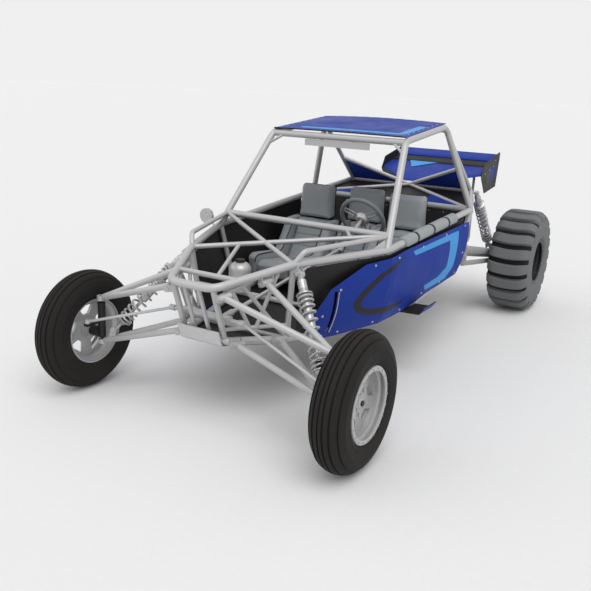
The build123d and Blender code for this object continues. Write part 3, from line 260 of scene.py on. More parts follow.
# %% Finishes
SILVER = (0.47, 0.47, 0.475)
BLACK = (0.014, 0.012, 0.012)
BLUE = (0.018, 0.044, 0.29)
# Light blue: the stripes' own paint, and also a painted highlight on the wing.
STRIPE_AND_HIGHLIGHT_BLUE = (0.055, 0.30, 0.68)
SEAT_GREY = (0.305, 0.328, 0.341)
finishes = {
    "frame_silver": finish("frame_silver", SILVER, 0.42, 0.25, 900, bump=0.12, shade=0.03, dust=0.05),
    "black_sheet": finish("black_sheet", BLACK, 0.5, 0, 700, bump=0.2, shade=0.25, dust=0.03, specular=0.25),
    "blue_paint": finish("blue_paint", BLUE, 0.42, 0, 300, bump=0.05, shade=0.06, dust=0.006, specular=0.05),
    "skid_aluminium": finish("skid_aluminium", (0.6, 0.6, 0.61), 0.36, 0.8, 900, (0.04, 1, 1), 0.3, 0.1),
    "seat_grey": finish("seat_grey", SEAT_GREY, 0.58, 0, 420, bump=0.5, shade=0.14, dust=0.03, specular=0.3),
    "engine_alloy": finish("engine_alloy", (0.36, 0.36, 0.37), 0.5, 0.6, 450, bump=0.7, shade=0.2, dust=0.1),
    "black_steel": finish("black_steel", BLACK, 0.45, 0, 700, bump=0.2, shade=0.25, dust=0.05, specular=0.3),
    "shock_silver": finish("shock_silver", SILVER, 0.3, 0.5, 900, (1, 1, 0.05), 0.15, 0.05, dust=0.03),
    "tyre_black": finish("tyre_black", (0.013, 0.0115, 0.011), 0.8, 0, 260, bump=0.6, shade=0.25,
                         dust=0.035, specular=0.25),
    "tyre_grey": finish("tyre_grey", (0.155, 0.163, 0.168), 0.85, 0, 220, bump=0.7, shade=0.2,
                        dust=0.05, specular=0.25),
    "rim_silver": finish("rim_silver", SILVER, 0.34, 0.4, 900, (0.05, 1, 1), 0.15, 0.05, dust=0.04),
    "rim_dark": finish("rim_dark", (0.03, 0.03, 0.033), 0.4, 0.4, 700, bump=0.2, shade=0.15, dust=0.08),
    "steering_grey": finish("steering_grey", (0.14, 0.15, 0.157), 0.65, 0, 800, bump=0.6, shade=0.15),
    "column_silver": finish("column_silver", SILVER, 0.35, 0.6, 900, bump=0.1, shade=0.05, dust=0.03),
    "fitting_silver": finish("fitting_silver", SILVER, 0.34, 0.35, 900, bump=0.1, shade=0.05, dust=0.03),
}
# Light blue paint for the stripes; on the wing's main blade it is a painted highlight.
sky_paint = finish("sky_paint", STRIPE_AND_HIGHLIGHT_BLUE, 0.42, 0, 300, bump=0.05, shade=0.04, dust=0.012, specular=0.1)
bolt_steel = finish("bolt_steel", (0.5, 0.5, 0.5), 0.32, 0.8, 1500, bump=0.2, shade=0.1)
mirror_glass = finish("mirror_glass", (0.8, 0.82, 0.85), 0.06, 1.0, 40, bump=0.0, shade=0.01, uneven=0.01)
piping_black = finish("piping_black", BLACK, 0.6, 0, 1200, bump=0.5, shade=0.3, specular=0.3)
for row in frame["record"]["subparts"]:
    piece = nodes[row["node"]]
    piece.data.materials.clear()
    piece.data.materials.append(finishes[row["material_slot"]])

# %% [markdown]
# The floor is a plain pale sheet, so wide that its far edge melts into a sky of the
# same paleness. A big soft sun from the camera's side and an even sky light the
# buggy, so a colour comes out about as it is written and undersides stay readable.

# %% Floor, sky and lights
FLOOR_COLOUR = (0.8, 0.8, 0.8)
FLOOR_HALF = 300
SKY_LIGHT = 0.62
SKY_SEEN = 0.87


def build_floor():
    """One wide sheet, which belongs to the stage and not to the buggy."""
    shape = bmesh.new()
    bmesh.ops.create_grid(shape, x_segments=1, y_segments=1, size=FLOOR_HALF)
    mesh = bpy.data.meshes.new("floor")
    shape.to_mesh(mesh)
    shape.free()
    mesh.materials.append(finish("pale_floor", FLOOR_COLOUR, 0.9, 0, 30, bump=0.0, shade=0.01, dust=0.0))
    add_object("floor", mesh)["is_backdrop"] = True


def add_sun(name, toward, strength, softness):
    """A sun that shines along a direction; softness is its angle in degrees."""
    data = bpy.data.lights.new(name, "SUN")
    data.energy = strength
    data.angle = math.radians(softness)
    light = add_object(name, data)
    light.rotation_euler = Vector(toward).to_track_quat("-Z", "Y").to_euler()


def build_sky():
    """An even sky: one strength lights the scene, and another is seen and mirrored."""
    world = bpy.data.worlds.new("studio")
    bpy.context.scene.world = world
    world.use_nodes = True
    tree = world.node_tree
    lit = tree.nodes["Background"]
    lit.inputs["Color"].default_value = (1, 1, 1, 1)
    lit.inputs["Strength"].default_value = SKY_LIGHT
    seen = put(tree, "ShaderNodeBackground", None, {"Color": (1, 1, 1, 1), "Strength": SKY_SEEN})
    path = put(tree, "ShaderNodeLightPath")
    mirrored_or_seen = path.outputs["Is Camera Ray"]
    for ray in ("Is Glossy Ray", "Is Transmission Ray"):
        mirrored_or_seen = put(tree, "ShaderNodeMath", {"operation": "MAXIMUM"}, {
            0: mirrored_or_seen, 1: path.outputs[ray],
        }).outputs[0]
    mix = put(tree, "ShaderNodeMixShader", None, {0: mirrored_or_seen})
    tree.links.new(lit.outputs[0], mix.inputs[1])
    tree.links.new(seen.outputs[0], mix.inputs[2])
    tree.links.new(mix.outputs[0], tree.nodes["World Output"].inputs["Surface"])


build_floor()
build_sky()
add_sun("key_sun", (-0.45, 0.45, -1.0), 1.5, 50)
add_sun("fill_sun", (0.9, 0.6, -0.6), 0.35, 60)
bpy.context.scene.view_settings.view_transform = "Standard"

# %% [markdown]
# New pieces are built as meshes in the buggy's own frame. A handful of tools make
# all of them: a round rod between two points, a flat outline pushed out into a
# plate, a profile spun about an axis, a pipe along a path and a wound coil. The
# spin and extrude operators give new corners an order that changes from run to
# run, and a cloth simulation feels that order. So a spun part is sorted by place,
# and a plate, which the seat pads start from, gets its corners one by one.

# %% Mesh tools
def paint(faces, index):
    """Gives faces one of their piece's materials, by its number."""
    for face in faces:
        face.material_index = index


def polar(radius, angle, along):
    """A point round a matrix's Z: millimetres and radians in, metres out."""
    return Vector((radius * math.cos(angle), radius * math.sin(angle), along)) * MM


def circle_angles(count):
    """Even steps round a full circle."""
    return [2 * math.pi * step / count for step in range(count)]


def add_rod(shape, start, end, radius, index=0, sides=24, end_radius=None):
    """A round rod between two points."""
    along = end - start
    place = Matrix.Translation((start + end) / 2) @ along.to_track_quat("Z", "Y").to_matrix().to_4x4()
    made = bmesh.ops.create_cone(
        shape, cap_ends=True, segments=sides, radius1=radius,
        radius2=radius if end_radius is None else end_radius, depth=along.length, matrix=place,
    )
    paint({face for vert in made["verts"] for face in vert.link_faces}, index)


def add_plate(shape, outline, depth, index=0):
    """A flat outline of points, pushed out along a vector, with its corners in a set order."""
    near = [shape.verts.new(point) for point in outline]
    far = [shape.verts.new(point + depth) for point in outline]
    faces = [shape.faces.new(near), shape.faces.new(far[::-1])]
    for here, there in zip(range(len(near)), [*range(1, len(near)), 0]):
        faces.append(shape.faces.new((near[there], near[here], far[here], far[there])))
    paint(faces, index)


def axis_place(origin, axis, across=None):
    """A matrix at a point whose Z lies along an axis and whose X is near another direction."""
    up = axis.normalized()
    side = across if across is not None else (LEFT if abs(up.x) < 0.9 else BACK)
    side = (side - up * side.dot(up)).normalized()
    turn = Matrix((side, up.cross(side), up)).transposed().to_4x4()
    return Matrix.Translation(origin) @ turn


def pour(part, shape):
    """Adds a finished bmesh to another one, its corners and faces sorted by place."""
    middle = bmesh.types.BMFace.calc_center_median
    for items, place in ((part.verts, lambda vert: vert.co), (part.faces, middle)):
        for number, item in enumerate(sorted(items, key=lambda item: tuple(place(item)))):
            item.index = number
        items.sort()
    carrier = bpy.data.meshes.new("carrier")
    part.to_mesh(carrier)
    part.free()
    shape.from_mesh(carrier)
    bpy.data.meshes.remove(carrier)


def add_turned(shape, profile, place, steps=48, closed=False, index=0):
    """A profile of (along, radius) in millimetres, spun about a matrix's Z."""
    turned = bmesh.new()
    line = [turned.verts.new(polar(radius, 0, along)) for along, radius in profile]
    follow = line[1:] + (line[:1] if closed else [])
    edges = [turned.edges.new(pair) for pair in zip(line, follow)]
    bmesh.ops.spin(
        turned, geom=line + edges, cent=(0, 0, 0), axis=(0, 0, 1), angle=2 * math.pi, steps=steps,
        use_merge=True,
    )
    bmesh.ops.remove_doubles(turned, verts=turned.verts, dist=1e-7)
    bmesh.ops.transform(turned, matrix=place, verts=turned.verts)
    paint(turned.faces, index)
    pour(turned, shape)


def add_loft(shape, rings, index=0, closed=False):
    """Rings of points joined corner to corner, with flat ends unless the last meets the first."""
    rows = [[shape.verts.new(point) for point in ring] for ring in rings]
    faces = [] if closed else [shape.faces.new(rows[0]), shape.faces.new(rows[-1][::-1])]
    for row, after in zip(rows, rows[1:] + (rows[:1] if closed else [])):
        for here in range(len(row)):
            there = (here + 1) % len(row)
            faces.append(shape.faces.new((row[here], row[there], after[there], after[here])))
    paint(faces, index)


def smooth_path(points, pieces=6):
    """More points along a smooth line through the given ones."""
    line = []
    ends = [points[0], *points, points[-1]]
    for before, start, end, after in zip(ends, ends[1:], ends[2:], ends[3:]):
        for step in range(pieces):
            t = step / pieces
            line.append(0.5 * (
                2 * start + (end - before) * t + (2 * before - 5 * start + 4 * end - after) * t ** 2
                + (3 * start - before - 3 * end + after) * t ** 3
            ))
    return [*line, points[-1]]


def add_pipe(shape, points, radius, index=0, sides=12):
    """A round pipe along a line of points, lofted without twist."""
    rings = []
    side = None
    for number, point in enumerate(points):
        along = (points[min(number + 1, len(points) - 1)] - points[max(number - 1, 0)]).normalized()
        if side is None:
            side = along.orthogonal().normalized()
        side = (side - along * side.dot(along)).normalized()
        other = along.cross(side)
        rings.append([
            point + (side * math.cos(a) + other * math.sin(a)) * radius for a in circle_angles(sides)
        ])
    add_loft(shape, rings, index)


END_TURN_FLATNESS = 0.35


def coil_points(place, radius, start, end, turns, steps=26):
    """Points along a coil about a matrix's Z, with its first and last turn lying nearly flat."""
    points = []
    for step in range(turns * steps + 1):
        share = step / (turns * steps)
        rise = share - math.sin(2 * math.pi * share) / (2 * math.pi) * END_TURN_FLATNESS
        angle = 2 * math.pi * turns * share
        height = start + (end - start) * rise
        points.append(place @ polar(radius, angle, height))
    return points


def add_mirrored(shape):
    """Doubles what is in the shape to the other side of the car."""
    copied = bmesh.ops.duplicate(shape, geom=shape.verts[:] + shape.edges[:] + shape.faces[:])["geom"]
    for item in copied:
        if isinstance(item, bmesh.types.BMVert):
            item.co.x = -item.co.x


def ride_with(name, mesh, body, replaced=()):
    """Makes an object that rides on a body and stands for frame nodes, which it hides."""
    piece = add_object(name, mesh)
    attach(piece, body)
    if replaced:
        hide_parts(*replaced)
    return piece


def new_piece(name, shape, body, materials, replaced=(), smooth=35, merge=True):
    """Turns a bmesh into a piece; edges sharper than "smooth" degrees stay sharp."""
    if merge:
        bmesh.ops.remove_doubles(shape, verts=shape.verts, dist=1e-6)
    bmesh.ops.recalc_face_normals(shape, faces=shape.faces)
    mesh = bpy.data.meshes.new(name)
    shape.to_mesh(mesh)
    shape.free()
    for material in materials:
        mesh.materials.append(material)
    mesh.shade_smooth()
    mesh.set_sharp_from_angle(angle=math.radians(smooth))
    print(name, "has", len(mesh.polygons), "faces")
    return ride_with(name, mesh, body, replaced)


def on_side(place, side):
    """A place on the left, or its mirror image on the right."""
    return Vector((side * place.x, place.y, place.z))


SIDES = {"left": 1, "right": -1}

# %% [markdown]
# The front tyre is a tall narrow one: a ribbed tread that bites sideways in sand,
# a rounded shoulder and a bead ring. Half of its section is a short list of points,
# mirrored for the inner side and turned about the axle.

# %% Front tyres
FRONT_HUB = at(876, 0, 348)
FRONT_SECTION = [
    (68, 190.4), (78, 196), (82.5, 205), (84, 213), (86, 216), (86, 221), (85, 224), (88, 236), (89.4, 250),
    (89, 263), (90, 266), (89.5, 272), (87, 277), (85, 290), (81, 301), (76, 309), (74, 309), (72, 304),
    (69, 304), (67, 315), (62, 323), (55, 330.5), (47, 336), (45, 336), (43, 329), (37, 330), (35.5, 340),
    (27, 343.5), (16, 346), (14, 339), (9, 339), (7, 347.5), (0, 347.9),
]


def mirrored_section(half):
    """Half a tyre's section and its mirror image, as one closed line."""
    return half + [(-along, radius) for along, radius in half[-2::-1]]


for name, side in SIDES.items():
    shape = bmesh.new()
    place = axis_place(on_side(FRONT_HUB, side), LEFT)
    add_turned(shape, mirrored_section(FRONT_SECTION), place, 96, closed=True)
    new_piece(
        f"front_tyre_ribbed_{name}", shape, f"wheel_front_{name}", [finishes["tyre_black"]],
        [f"front_tyre_{name}"], 30,
    )

# %% [markdown]
# A sand tyre for the rear pushes with lugs like paddles. Each lug is a block whose
# middle trails its ends, so it cups the sand, and whose crown follows the round
# shoulder. One lug is lofted from stations across the tread and copied round.

# %% Rear tyres
REAR_HUB = at(752, 3376, 420)
LUGS = 20
LUG_STATIONS = [-163, -154, -142, -124, -98, -64, -30, 0, 30, 64, 98, 124, 142, 154, 163]
LUG_BOW = 20
LUG_CROWN, CROWN_BEND, CROWN_DROP = 419.5, 0.66, 40
LUG_ROOT, ROOT_BEND, ROOT_DROP = 384, 0.7, 36
LUG_PITCH_RADIUS = 400
WALL_TOP = 350
REAR_SECTION = [
    (148, 190.4), (158, 196), (164, 206), (166, 216), (168, 219), (168, 225), (167, 228), (169, 250),
    (169.5, 285), (168, 315), (166, 336), (162, 352), (154, 366), (142, 377), (124, 384),
    (90, 386.5), (0, 387),
]


def lug_section(across):
    """Corners of a lug at a distance across the tread: (round the tyre, radius)."""
    share = abs(across) / LUG_STATIONS[-1]
    crown = LUG_CROWN - CROWN_DROP * max(0.0, (share - CROWN_BEND) / (1 - CROWN_BEND)) ** 1.7
    root = LUG_ROOT - ROOT_DROP * max(0.0, (share - ROOT_BEND) / (1 - ROOT_BEND)) ** 1.6
    middle = LUG_BOW * (1 - share ** 2)
    offsets = [(-45, root), (-40, crown - 7), (-34, crown), (34, crown), (40, crown - 7), (45, root)]
    return [(middle + around, radius) for around, radius in offsets]


def add_lug(shape, place, turn):
    """One lug, lofted across the tread at an angle round the tyre."""
    rings = []
    for across in LUG_STATIONS:
        corners = [(radius, turn + around / LUG_PITCH_RADIUS) for around, radius in lug_section(across)]
        rings.append([place @ polar(radius, angle, across) for radius, angle in corners])
    add_loft(shape, rings)


REAR_LINE = mirrored_section(REAR_SECTION)
wall = len([radius for along, radius in REAR_SECTION if radius < WALL_TOP])
tread_end = len(REAR_LINE) - wall
TYRE_RUNS = [
    (REAR_LINE[:wall + 1], 0), (REAR_LINE[wall:tread_end + 1], 1), (REAR_LINE[tread_end:] + REAR_LINE[:1], 0),
]
for name, side in SIDES.items():
    shape = bmesh.new()
    place = axis_place(on_side(REAR_HUB, side), LEFT)
    for run, index in TYRE_RUNS:
        add_turned(shape, run, place, 80, index=index)
    for turn in circle_angles(LUGS):
        add_lug(shape, place, turn)
    new_piece(
        f"rear_tyre_lugged_{name}", shape, f"wheel_rear_{name}",
        [finishes["tyre_grey"], finishes["tyre_black"]], [f"rear_tyre_{name}"], 32,
    )

# %% [markdown]
# The rims come from the frame model. What they lack is what clamps the bead: a
# ring with a row of small bolts, the hub nut with its cap, and a valve stem.

# %% Bead rings, hub caps and valves
RING_SECTION = [(-3, 166), (4, 166), (6, 170), (6, 184), (4, 188), (-3, 188)]
CAP_SECTION = [(-6, 0), (-6, 32), (2, 32), (5, 28), (6, 0)]
RING_BOLTS_AT = 177
VALVE_AT = 160
# axle, hub, half the rim's width, the hub's face, bolts in the ring, finish
WHEEL_FITTINGS = [("front", FRONT_HUB, 75, 30, 20, "rim_silver"), ("rear", REAR_HUB, 145, 70, 24, "rim_dark")]


def add_wheel_fittings(shape, hub, side, half, face, bolts):
    """Ring round the rim's lip, its bolts, the hub cap and the valve; millimetres from the hub."""
    place = axis_place(hub, LEFT * side)
    outwards = LEFT * side * MM
    add_turned(shape, [(half + along, radius) for along, radius in RING_SECTION], place, 72, closed=True)
    for angle in circle_angles(bolts):
        head = place @ polar(RING_BOLTS_AT, angle, half + 5)
        add_rod(shape, head, head + outwards * 5, 4.2 * MM, 1, 6)
    add_turned(shape, [(face + along, radius) for along, radius in CAP_SECTION], place, 32)
    nut = place @ polar(0, 0, face + 5)
    add_rod(shape, nut, nut + outwards * 5, 12 * MM, 1, 6)
    valve = place @ polar(VALVE_AT, math.pi / 2, half - 30)
    add_rod(shape, valve, valve + outwards * 24, 3.5 * MM, 1, 12, 2.5 * MM)


for axle, hub, half, face, bolts, metal in WHEEL_FITTINGS:
    for name, side in SIDES.items():
        shape = bmesh.new()
        add_wheel_fittings(shape, on_side(hub, side), side, half, face, bolts)
        new_piece(
            f"{axle}_bead_ring_{name}", shape, f"wheel_{axle}_{name}", [finishes[metal], bolt_steel],
        )

# %% [markdown]
# A coil-over is a damper inside a wound spring. The eyes stay where the frame
# model has them; between them come the body, its threaded collar, a polished rod,
# a bump stop, two seats and a real coil whose end turns lie flat on the seats.

# %% Coil-overs
FRONT_SHOCK = (at(377, 295, 825), at(688.7, 35, 363), BACK)
REAR_SHOCK = (at(546, 2636, 1034), at(516, 3230, 535), LEFT)
EYE_R, EYE_HALF, BOLT_R = 19, 12, 12
DAMPER_R, DAMPER_SHARE = 24, 0.6
SEAT_R = 43.5
SPRING_FROM, SPRING_TO = 0.2, 0.86
COIL_R, WIRE_R, COIL_TURNS = 37.5, 6.2, 11
COLLAR_RIDGES = 7


def add_shock(shape, top, bottom, bolt):
    """One coil-over between two eyes; the profiles are millimetres below the top eye."""
    along = bottom - top
    long = along.length / MM
    place = axis_place(top, along, bolt)
    bolt = (bolt - along.normalized() * bolt.dot(along.normalized())).normalized() * MM
    for point in (top, bottom):
        add_rod(shape, point - bolt * EYE_HALF, point + bolt * EYE_HALF, EYE_R * MM, 0, 28)
        add_rod(shape, point - bolt * (EYE_HALF + 0.2), point + bolt * (EYE_HALF + 0.2), BOLT_R * MM, 2, 24)
    start, end, body_end = SPRING_FROM * long, SPRING_TO * long, DAMPER_SHARE * long
    body = [(12, 0), (12, 14), (0.06 * long, 20), (0.06 * long + 4, DAMPER_R)]
    for ridge in range(COLLAR_RIDGES):
        at_ridge = start - 34 + ridge * 3.5
        body += [(at_ridge, DAMPER_R), (at_ridge + 1, DAMPER_R - 1.4), (at_ridge + 2, DAMPER_R)]
    body += [(start - 9, DAMPER_R), (start - 9, 38), (start - 6, SEAT_R), (start, SEAT_R), (start, DAMPER_R)]
    body += [(body_end, DAMPER_R), (body_end + 2, 22), (body_end + 4, 0)]
    add_turned(shape, body, place, 36)
    rod = [(body_end, 0), (body_end, 9.5), (long - 14, 9.5), (long - 14, 0)]
    add_turned(shape, rod, place, 24, index=1)
    stop = [(end - 46, 10), (end - 44, 17), (end - 30, 19), (end - 16, 17), (end - 2, 20), (end - 1, 10)]
    add_turned(shape, stop, place, 28, closed=True, index=2)
    seat = [(end, 10), (end, SEAT_R), (end + 5, SEAT_R), (end + 8, 30), (end + 30, 14), (end + 31, 10)]
    add_turned(shape, seat, place, 36, closed=True)
    add_pipe(shape, coil_points(place, COIL_R, start + 6, end - 6, COIL_TURNS), WIRE_R * MM, 0, 10)


for axle, (top, bottom, bolt) in (("front", FRONT_SHOCK), ("rear", REAR_SHOCK)):
    shape = bmesh.new()
    add_shock(shape, top, bottom, bolt)
    add_mirrored(shape)
    new_piece(
        f"{axle}_coilovers", shape, "chassis",
        [finishes["shock_silver"], bolt_steel, piping_black], [f"{axle}_shocks"], 32,
    )

# %% [markdown]
# The steering wheel has a padded grip, a domed hub and flat spokes with a slot
# cut in each, as the picture shows. It turns with its shaft about the column.

# %% Steering wheel
WHEEL_MID = at(315, 1130, 1000)
WHEEL_TILT = math.radians(29)
WHEEL_AXIS = Vector((0, math.cos(WHEEL_TILT), math.sin(WHEEL_TILT)))
GRIP_RING = 138
GRIP = 13.6
SEAM = 1.2
HUB_SECTION = [(-26, 0), (-26, 30), (-12, 40), (-6, 46), (-2, 46), (1, 44), (3.5, 36), (5.5, 20), (6, 0)]
SPOKES = (90, 210, 330)
SPOKE_BACK, SPOKE_THICK = -9, 4
# from radius, to radius, lower edge, upper edge
SPOKE_PARTS = [(30, 54, -17, 17), (112, 128, -17, 17), (50, 116, 9, 17), (50, 116, -17, -9)]
HUB_BOLTS, HUB_BOLTS_AT = 6, 40
SHAFT_R, SHAFT_FROM, SHAFT_TO = 11, 20, 290


def round_section(middle, radius, sides):
    """A small circle as a profile, at a distance from the axis."""
    return [(radius * math.sin(angle), middle + radius * math.cos(angle)) for angle in circle_angles(sides)]


def add_spoke(shape, place, angle):
    """Two bars and two pads, which leave a slot between them."""
    turn = place @ Matrix.Rotation(angle, 4, "Z")
    for from_r, to_r, low, high in SPOKE_PARTS:
        corners = [(from_r, low), (to_r, low), (to_r, high), (from_r, high)]
        outline = [turn @ (Vector((x, y, SPOKE_BACK)) * MM) for x, y in corners]
        add_plate(shape, outline, WHEEL_AXIS * SPOKE_THICK * MM, 1)


def build_steering_wheel():
    """Grip, sewn seam, hub, spokes, hub bolts and shaft, all on the wheel's own body."""
    shape = bmesh.new()
    place = axis_place(WHEEL_MID, WHEEL_AXIS, LEFT)
    add_turned(shape, round_section(GRIP_RING, GRIP, 16), place, 72, closed=True)
    add_turned(shape, round_section(GRIP_RING - GRIP + 0.4, SEAM, 8), place, 72, closed=True, index=2)
    add_turned(shape, HUB_SECTION, place, 40, index=1)
    for degrees in SPOKES:
        add_spoke(shape, place, math.radians(degrees))
    for angle in circle_angles(HUB_BOLTS):
        head = place @ polar(HUB_BOLTS_AT, angle + math.pi / HUB_BOLTS, 0.5)
        add_rod(shape, head, head + WHEEL_AXIS * 3.5 * MM, 3 * MM, 3, 6)
    shaft = WHEEL_AXIS * MM
    add_rod(shape, WHEEL_MID - shaft * SHAFT_FROM, WHEEL_MID - shaft * SHAFT_TO, SHAFT_R * MM, 1, 28)
    new_piece(
        "steering_wheel_padded", shape, "steering_wheel",
        [finishes["steering_grey"], finishes["column_silver"], piping_black, bolt_steel], ["steering_wheel"],
    )


build_steering_wheel()

# %% [markdown]
# A suspension seat is a bent pad between two bolsters with a loose headrest. Each
# pad starts as its side view pushed out sideways, is remeshed to an even skin, and
# a cloth simulation with air pressure swells it; a cap keeps it near its shape. All
# pads swell in the same twenty frames. Channels are pressed in afterwards.

# %% Seat pads
BASE_BACK = [
    (1162, 507), (1153, 588), (1192, 612), (1370, 592), (1558, 573), (1600, 640), (1650, 745), (1692, 848),
    (1772, 848), (1640, 507),
]
BOLSTER = [
    (1162, 507), (1143, 628), (1182, 652), (1330, 646), (1480, 638), (1560, 735), (1642, 848), (1772, 848),
    (1640, 507),
]
HEADREST = [(1704, 850), (1718, 900), (1733, 1072), (1766, 1096), (1798, 1082), (1796, 900), (1788, 850)]
SHELL = [
    (1640, 505), (1658, 505), (1792, 850), (1811, 900), (1811, 1080), (1797, 1084), (1794, 900), (1774, 850),
]
PIPING_LINE = [(1146, 602), (1150, 624), (1184, 647), (1330, 641), (1478, 634), (1560, 727), (1640, 840)]
PIPING_R = 3.2
HEADREST_HALF = 134
UPPER_SHELL_HALF = 120
FOOT_R, FOOT_TOP, FOOT_PLACES = 13.8, 512, (1220, 1600)
FOOT_FLOOR = {1220: 409, 1600: 444, 1310: 409, 1690: 459}
# name, middle, shift rearwards, width, bolster width
SEATS = [("left", 348, 0, 390, 70), ("right", -348, 0, 390, 70), ("rear", 0, 90, 286, 46)]
VOXEL = 0.009
SWELL_CAP = 0.007
SWELL_FRAMES = 20
CHANNELS_ON_BASE = (1300, 1410, 1500)
CHANNELS_ON_BACK = (655, 730, 800)
CHANNEL_DEEP = 0.006
CHANNEL_WIDE = 0.008
CLOTH_QUALITY, AIR_PRESSURE = 4, 4


def side_block(outline, x_from, x_to, y_shift, soften):
    """A side view outline pushed out sideways, with softened edges."""
    shape = bmesh.new()
    points = [at(x_from, y + y_shift, z) for y, z in outline]
    add_plate(shape, points, LEFT * (x_to - x_from) * MM)
    bmesh.ops.recalc_face_normals(shape, faces=shape.faces)
    bmesh.ops.bevel(shape, geom=shape.edges[:], offset=soften, segments=3, affect="EDGES", profile=0.5)
    return shape


def swelled(blocks):
    """Remeshes each block, lets cloth under pressure swell it and smooths it once."""
    scene = bpy.context.scene
    blanks = []
    for number, shape in enumerate(blocks):
        mesh = bpy.data.meshes.new(f"blank_{number}")
        shape.to_mesh(mesh)
        shape.free()
        blank = add_object(f"blank_{number}", mesh)
        remesh = blank.modifiers.new("even_skin", "REMESH")
        remesh.mode = "VOXEL"
        remesh.voxel_size = VOXEL
        blanks.append(blank)

    def applied(blank):
        """The blank's mesh with its modifiers applied."""
        graph = bpy.context.evaluated_depsgraph_get()
        return bpy.data.meshes.new_from_object(blank.evaluated_get(graph))

    for blank in blanks:
        skin = applied(blank)
        blank.modifiers.clear()
        blank.data = skin
    starts = [[vert.co.copy() for vert in blank.data.vertices] for blank in blanks]
    for blank in blanks:
        cloth = blank.modifiers.new("swell", "CLOTH")
        cloth.settings.quality = CLOTH_QUALITY
        cloth.settings.use_pressure = True
        cloth.settings.uniform_pressure_force = AIR_PRESSURE
        cloth.settings.effector_weights.gravity = 0
        cloth.point_cache.frame_start = 1
        cloth.point_cache.frame_end = SWELL_FRAMES
    for number in range(1, SWELL_FRAMES + 1):
        scene.frame_set(number)
    pads = []
    for blank, start in zip(blanks, starts):
        pad = applied(blank)
        for vert, before in zip(pad.vertices, start):
            moved = vert.co - before
            if moved.length > SWELL_CAP:
                vert.co = before + moved.normalized() * SWELL_CAP
        blank.modifiers.clear()
        blank.data = pad
        smooth = blank.modifiers.new("smooth", "SUBSURF")
        smooth.levels = smooth.render_levels = 1
        pads.append(applied(blank))
        bpy.data.objects.remove(blank)
    scene.frame_set(1)
    return pads


def press_channels(mesh, y_shift):
    """Sewn channels across the base and the back of a centre pad."""
    for vert in mesh.vertices:
        for y in CHANNELS_ON_BASE:
            off = (vert.co.y - at(0, y + y_shift, 0).y) / CHANNEL_WIDE
            if vert.normal.z > 0.5 and abs(off) < 3 and vert.co.z > 0.55:
                vert.co.z -= CHANNEL_DEEP * math.exp(-off * off)
        for z in CHANNELS_ON_BACK:
            off = (vert.co.z - z * MM) / CHANNEL_WIDE
            if vert.normal.y < -0.4 and abs(off) < 3 and vert.co.y > at(0, 1500 + y_shift, 0).y:
                vert.co.y += CHANNEL_DEEP * math.exp(-off * off)


def seat_blocks(x, y_shift, width, bolster):
    """The blanks of one seat: centre, two bolsters and headrest."""
    half = width / 2
    blocks = [side_block(BASE_BACK, x - half + bolster, x + half - bolster, y_shift, 0.012)]
    for side in (1, -1):
        edges = sorted((x + side * (half - 4), x + side * (half - bolster + 2)))
        blocks.append(side_block(BOLSTER, *edges, y_shift, 0.016))
    blocks.append(side_block(HEADREST, x - HEADREST_HALF, x + HEADREST_HALF, y_shift, 0.018))
    return blocks


def build_seat(name, x, y_shift, width, bolster, pads):
    """Finishes a seat's pads, and adds its shell, its piping and its feet."""
    node = "rear_seat" if name == "rear" else "front_seats"
    for label, mesh in zip(("centre", "left_bolster", "right_bolster", "headrest"), pads):
        if label == "centre":
            press_channels(mesh, y_shift)
        mesh.materials.clear()
        mesh.materials.append(finishes["seat_grey"])
        mesh.shade_smooth()
        pad = ride_with(f"seat_{name}_{label}", mesh, "chassis", [node])
    shape = bmesh.new()
    half = width / 2
    shell = [at(x - half + 3, y + y_shift, z) for y, z in SHELL[:3] + SHELL[-1:]]
    add_plate(shape, shell, LEFT * (width - 6) * MM)
    upper = [at(x - UPPER_SHELL_HALF, y + y_shift, z) for y, z in SHELL[2:]]
    add_plate(shape, upper, LEFT * 2 * UPPER_SHELL_HALF * MM)
    for side in (1, -1):
        edge_x = x + side * (half - bolster)
        line = smooth_path([at(edge_x, y + y_shift, z) for y, z in PIPING_LINE])
        add_pipe(shape, line, PIPING_R * MM, 1, 10)
        for foot_y in [place + y_shift for place in FOOT_PLACES]:
            floor = FOOT_FLOOR[foot_y]
            add_rod(shape, at(edge_x, foot_y, floor), at(edge_x, foot_y, FOOT_TOP), FOOT_R * MM, 2, 24)
            add_rod(shape, at(edge_x, foot_y, floor), at(edge_x, foot_y, floor + 6), 13.9 * MM, 3, 6)
    new_piece(
        f"seat_{name}_shell", shape, "chassis",
        [finishes["black_sheet"], piping_black, finishes["frame_silver"], bolt_steel], [node], 30,
    )


groups = [seat_blocks(*row[1:]) for row in SEATS]
pads = swelled([block for blocks in groups for block in blocks])
print("swelled", len(pads), "pads")
for number, row in enumerate(SEATS):
    build_seat(*row, pads[4 * number:4 * number + 4])

# %% [markdown]
# The arm rest is a foam sleeve slipped over the left rail and held by three straps.
# It is soft, so it bulges between the straps and puckers at its ends.

# %% Arm rest sleeve
def rail_place(y):
    """The middle of the left upper rail beside the seats, at a distance behind the front axle."""
    share = (y - 905) / 1310
    return at(592 + 51 * share, y, 880 + 86 * share)


REST_FRONT = rail_place(1100)
REST_REAR = rail_place(1900)
REST_R, REST_INNER_R = 37.5, 22
STRAP_HALF, STRAP_RADII = 11, (35.2, 36.6)
REST_STRAPS = (0.2, 0.5, 0.8)
REST_STATIONS = 90
REST_OPEN = 58


def rest_radius(share):
    """Outer radius: full between the straps, pulled in under them and at the ends."""
    radius = REST_R
    for strap in REST_STRAPS:
        radius -= 3.5 * math.exp(-(((share - strap) / 0.022) ** 2))
    ends = min(share, 1 - share)
    return radius - 9 * math.exp(-((ends / 0.012) ** 2))


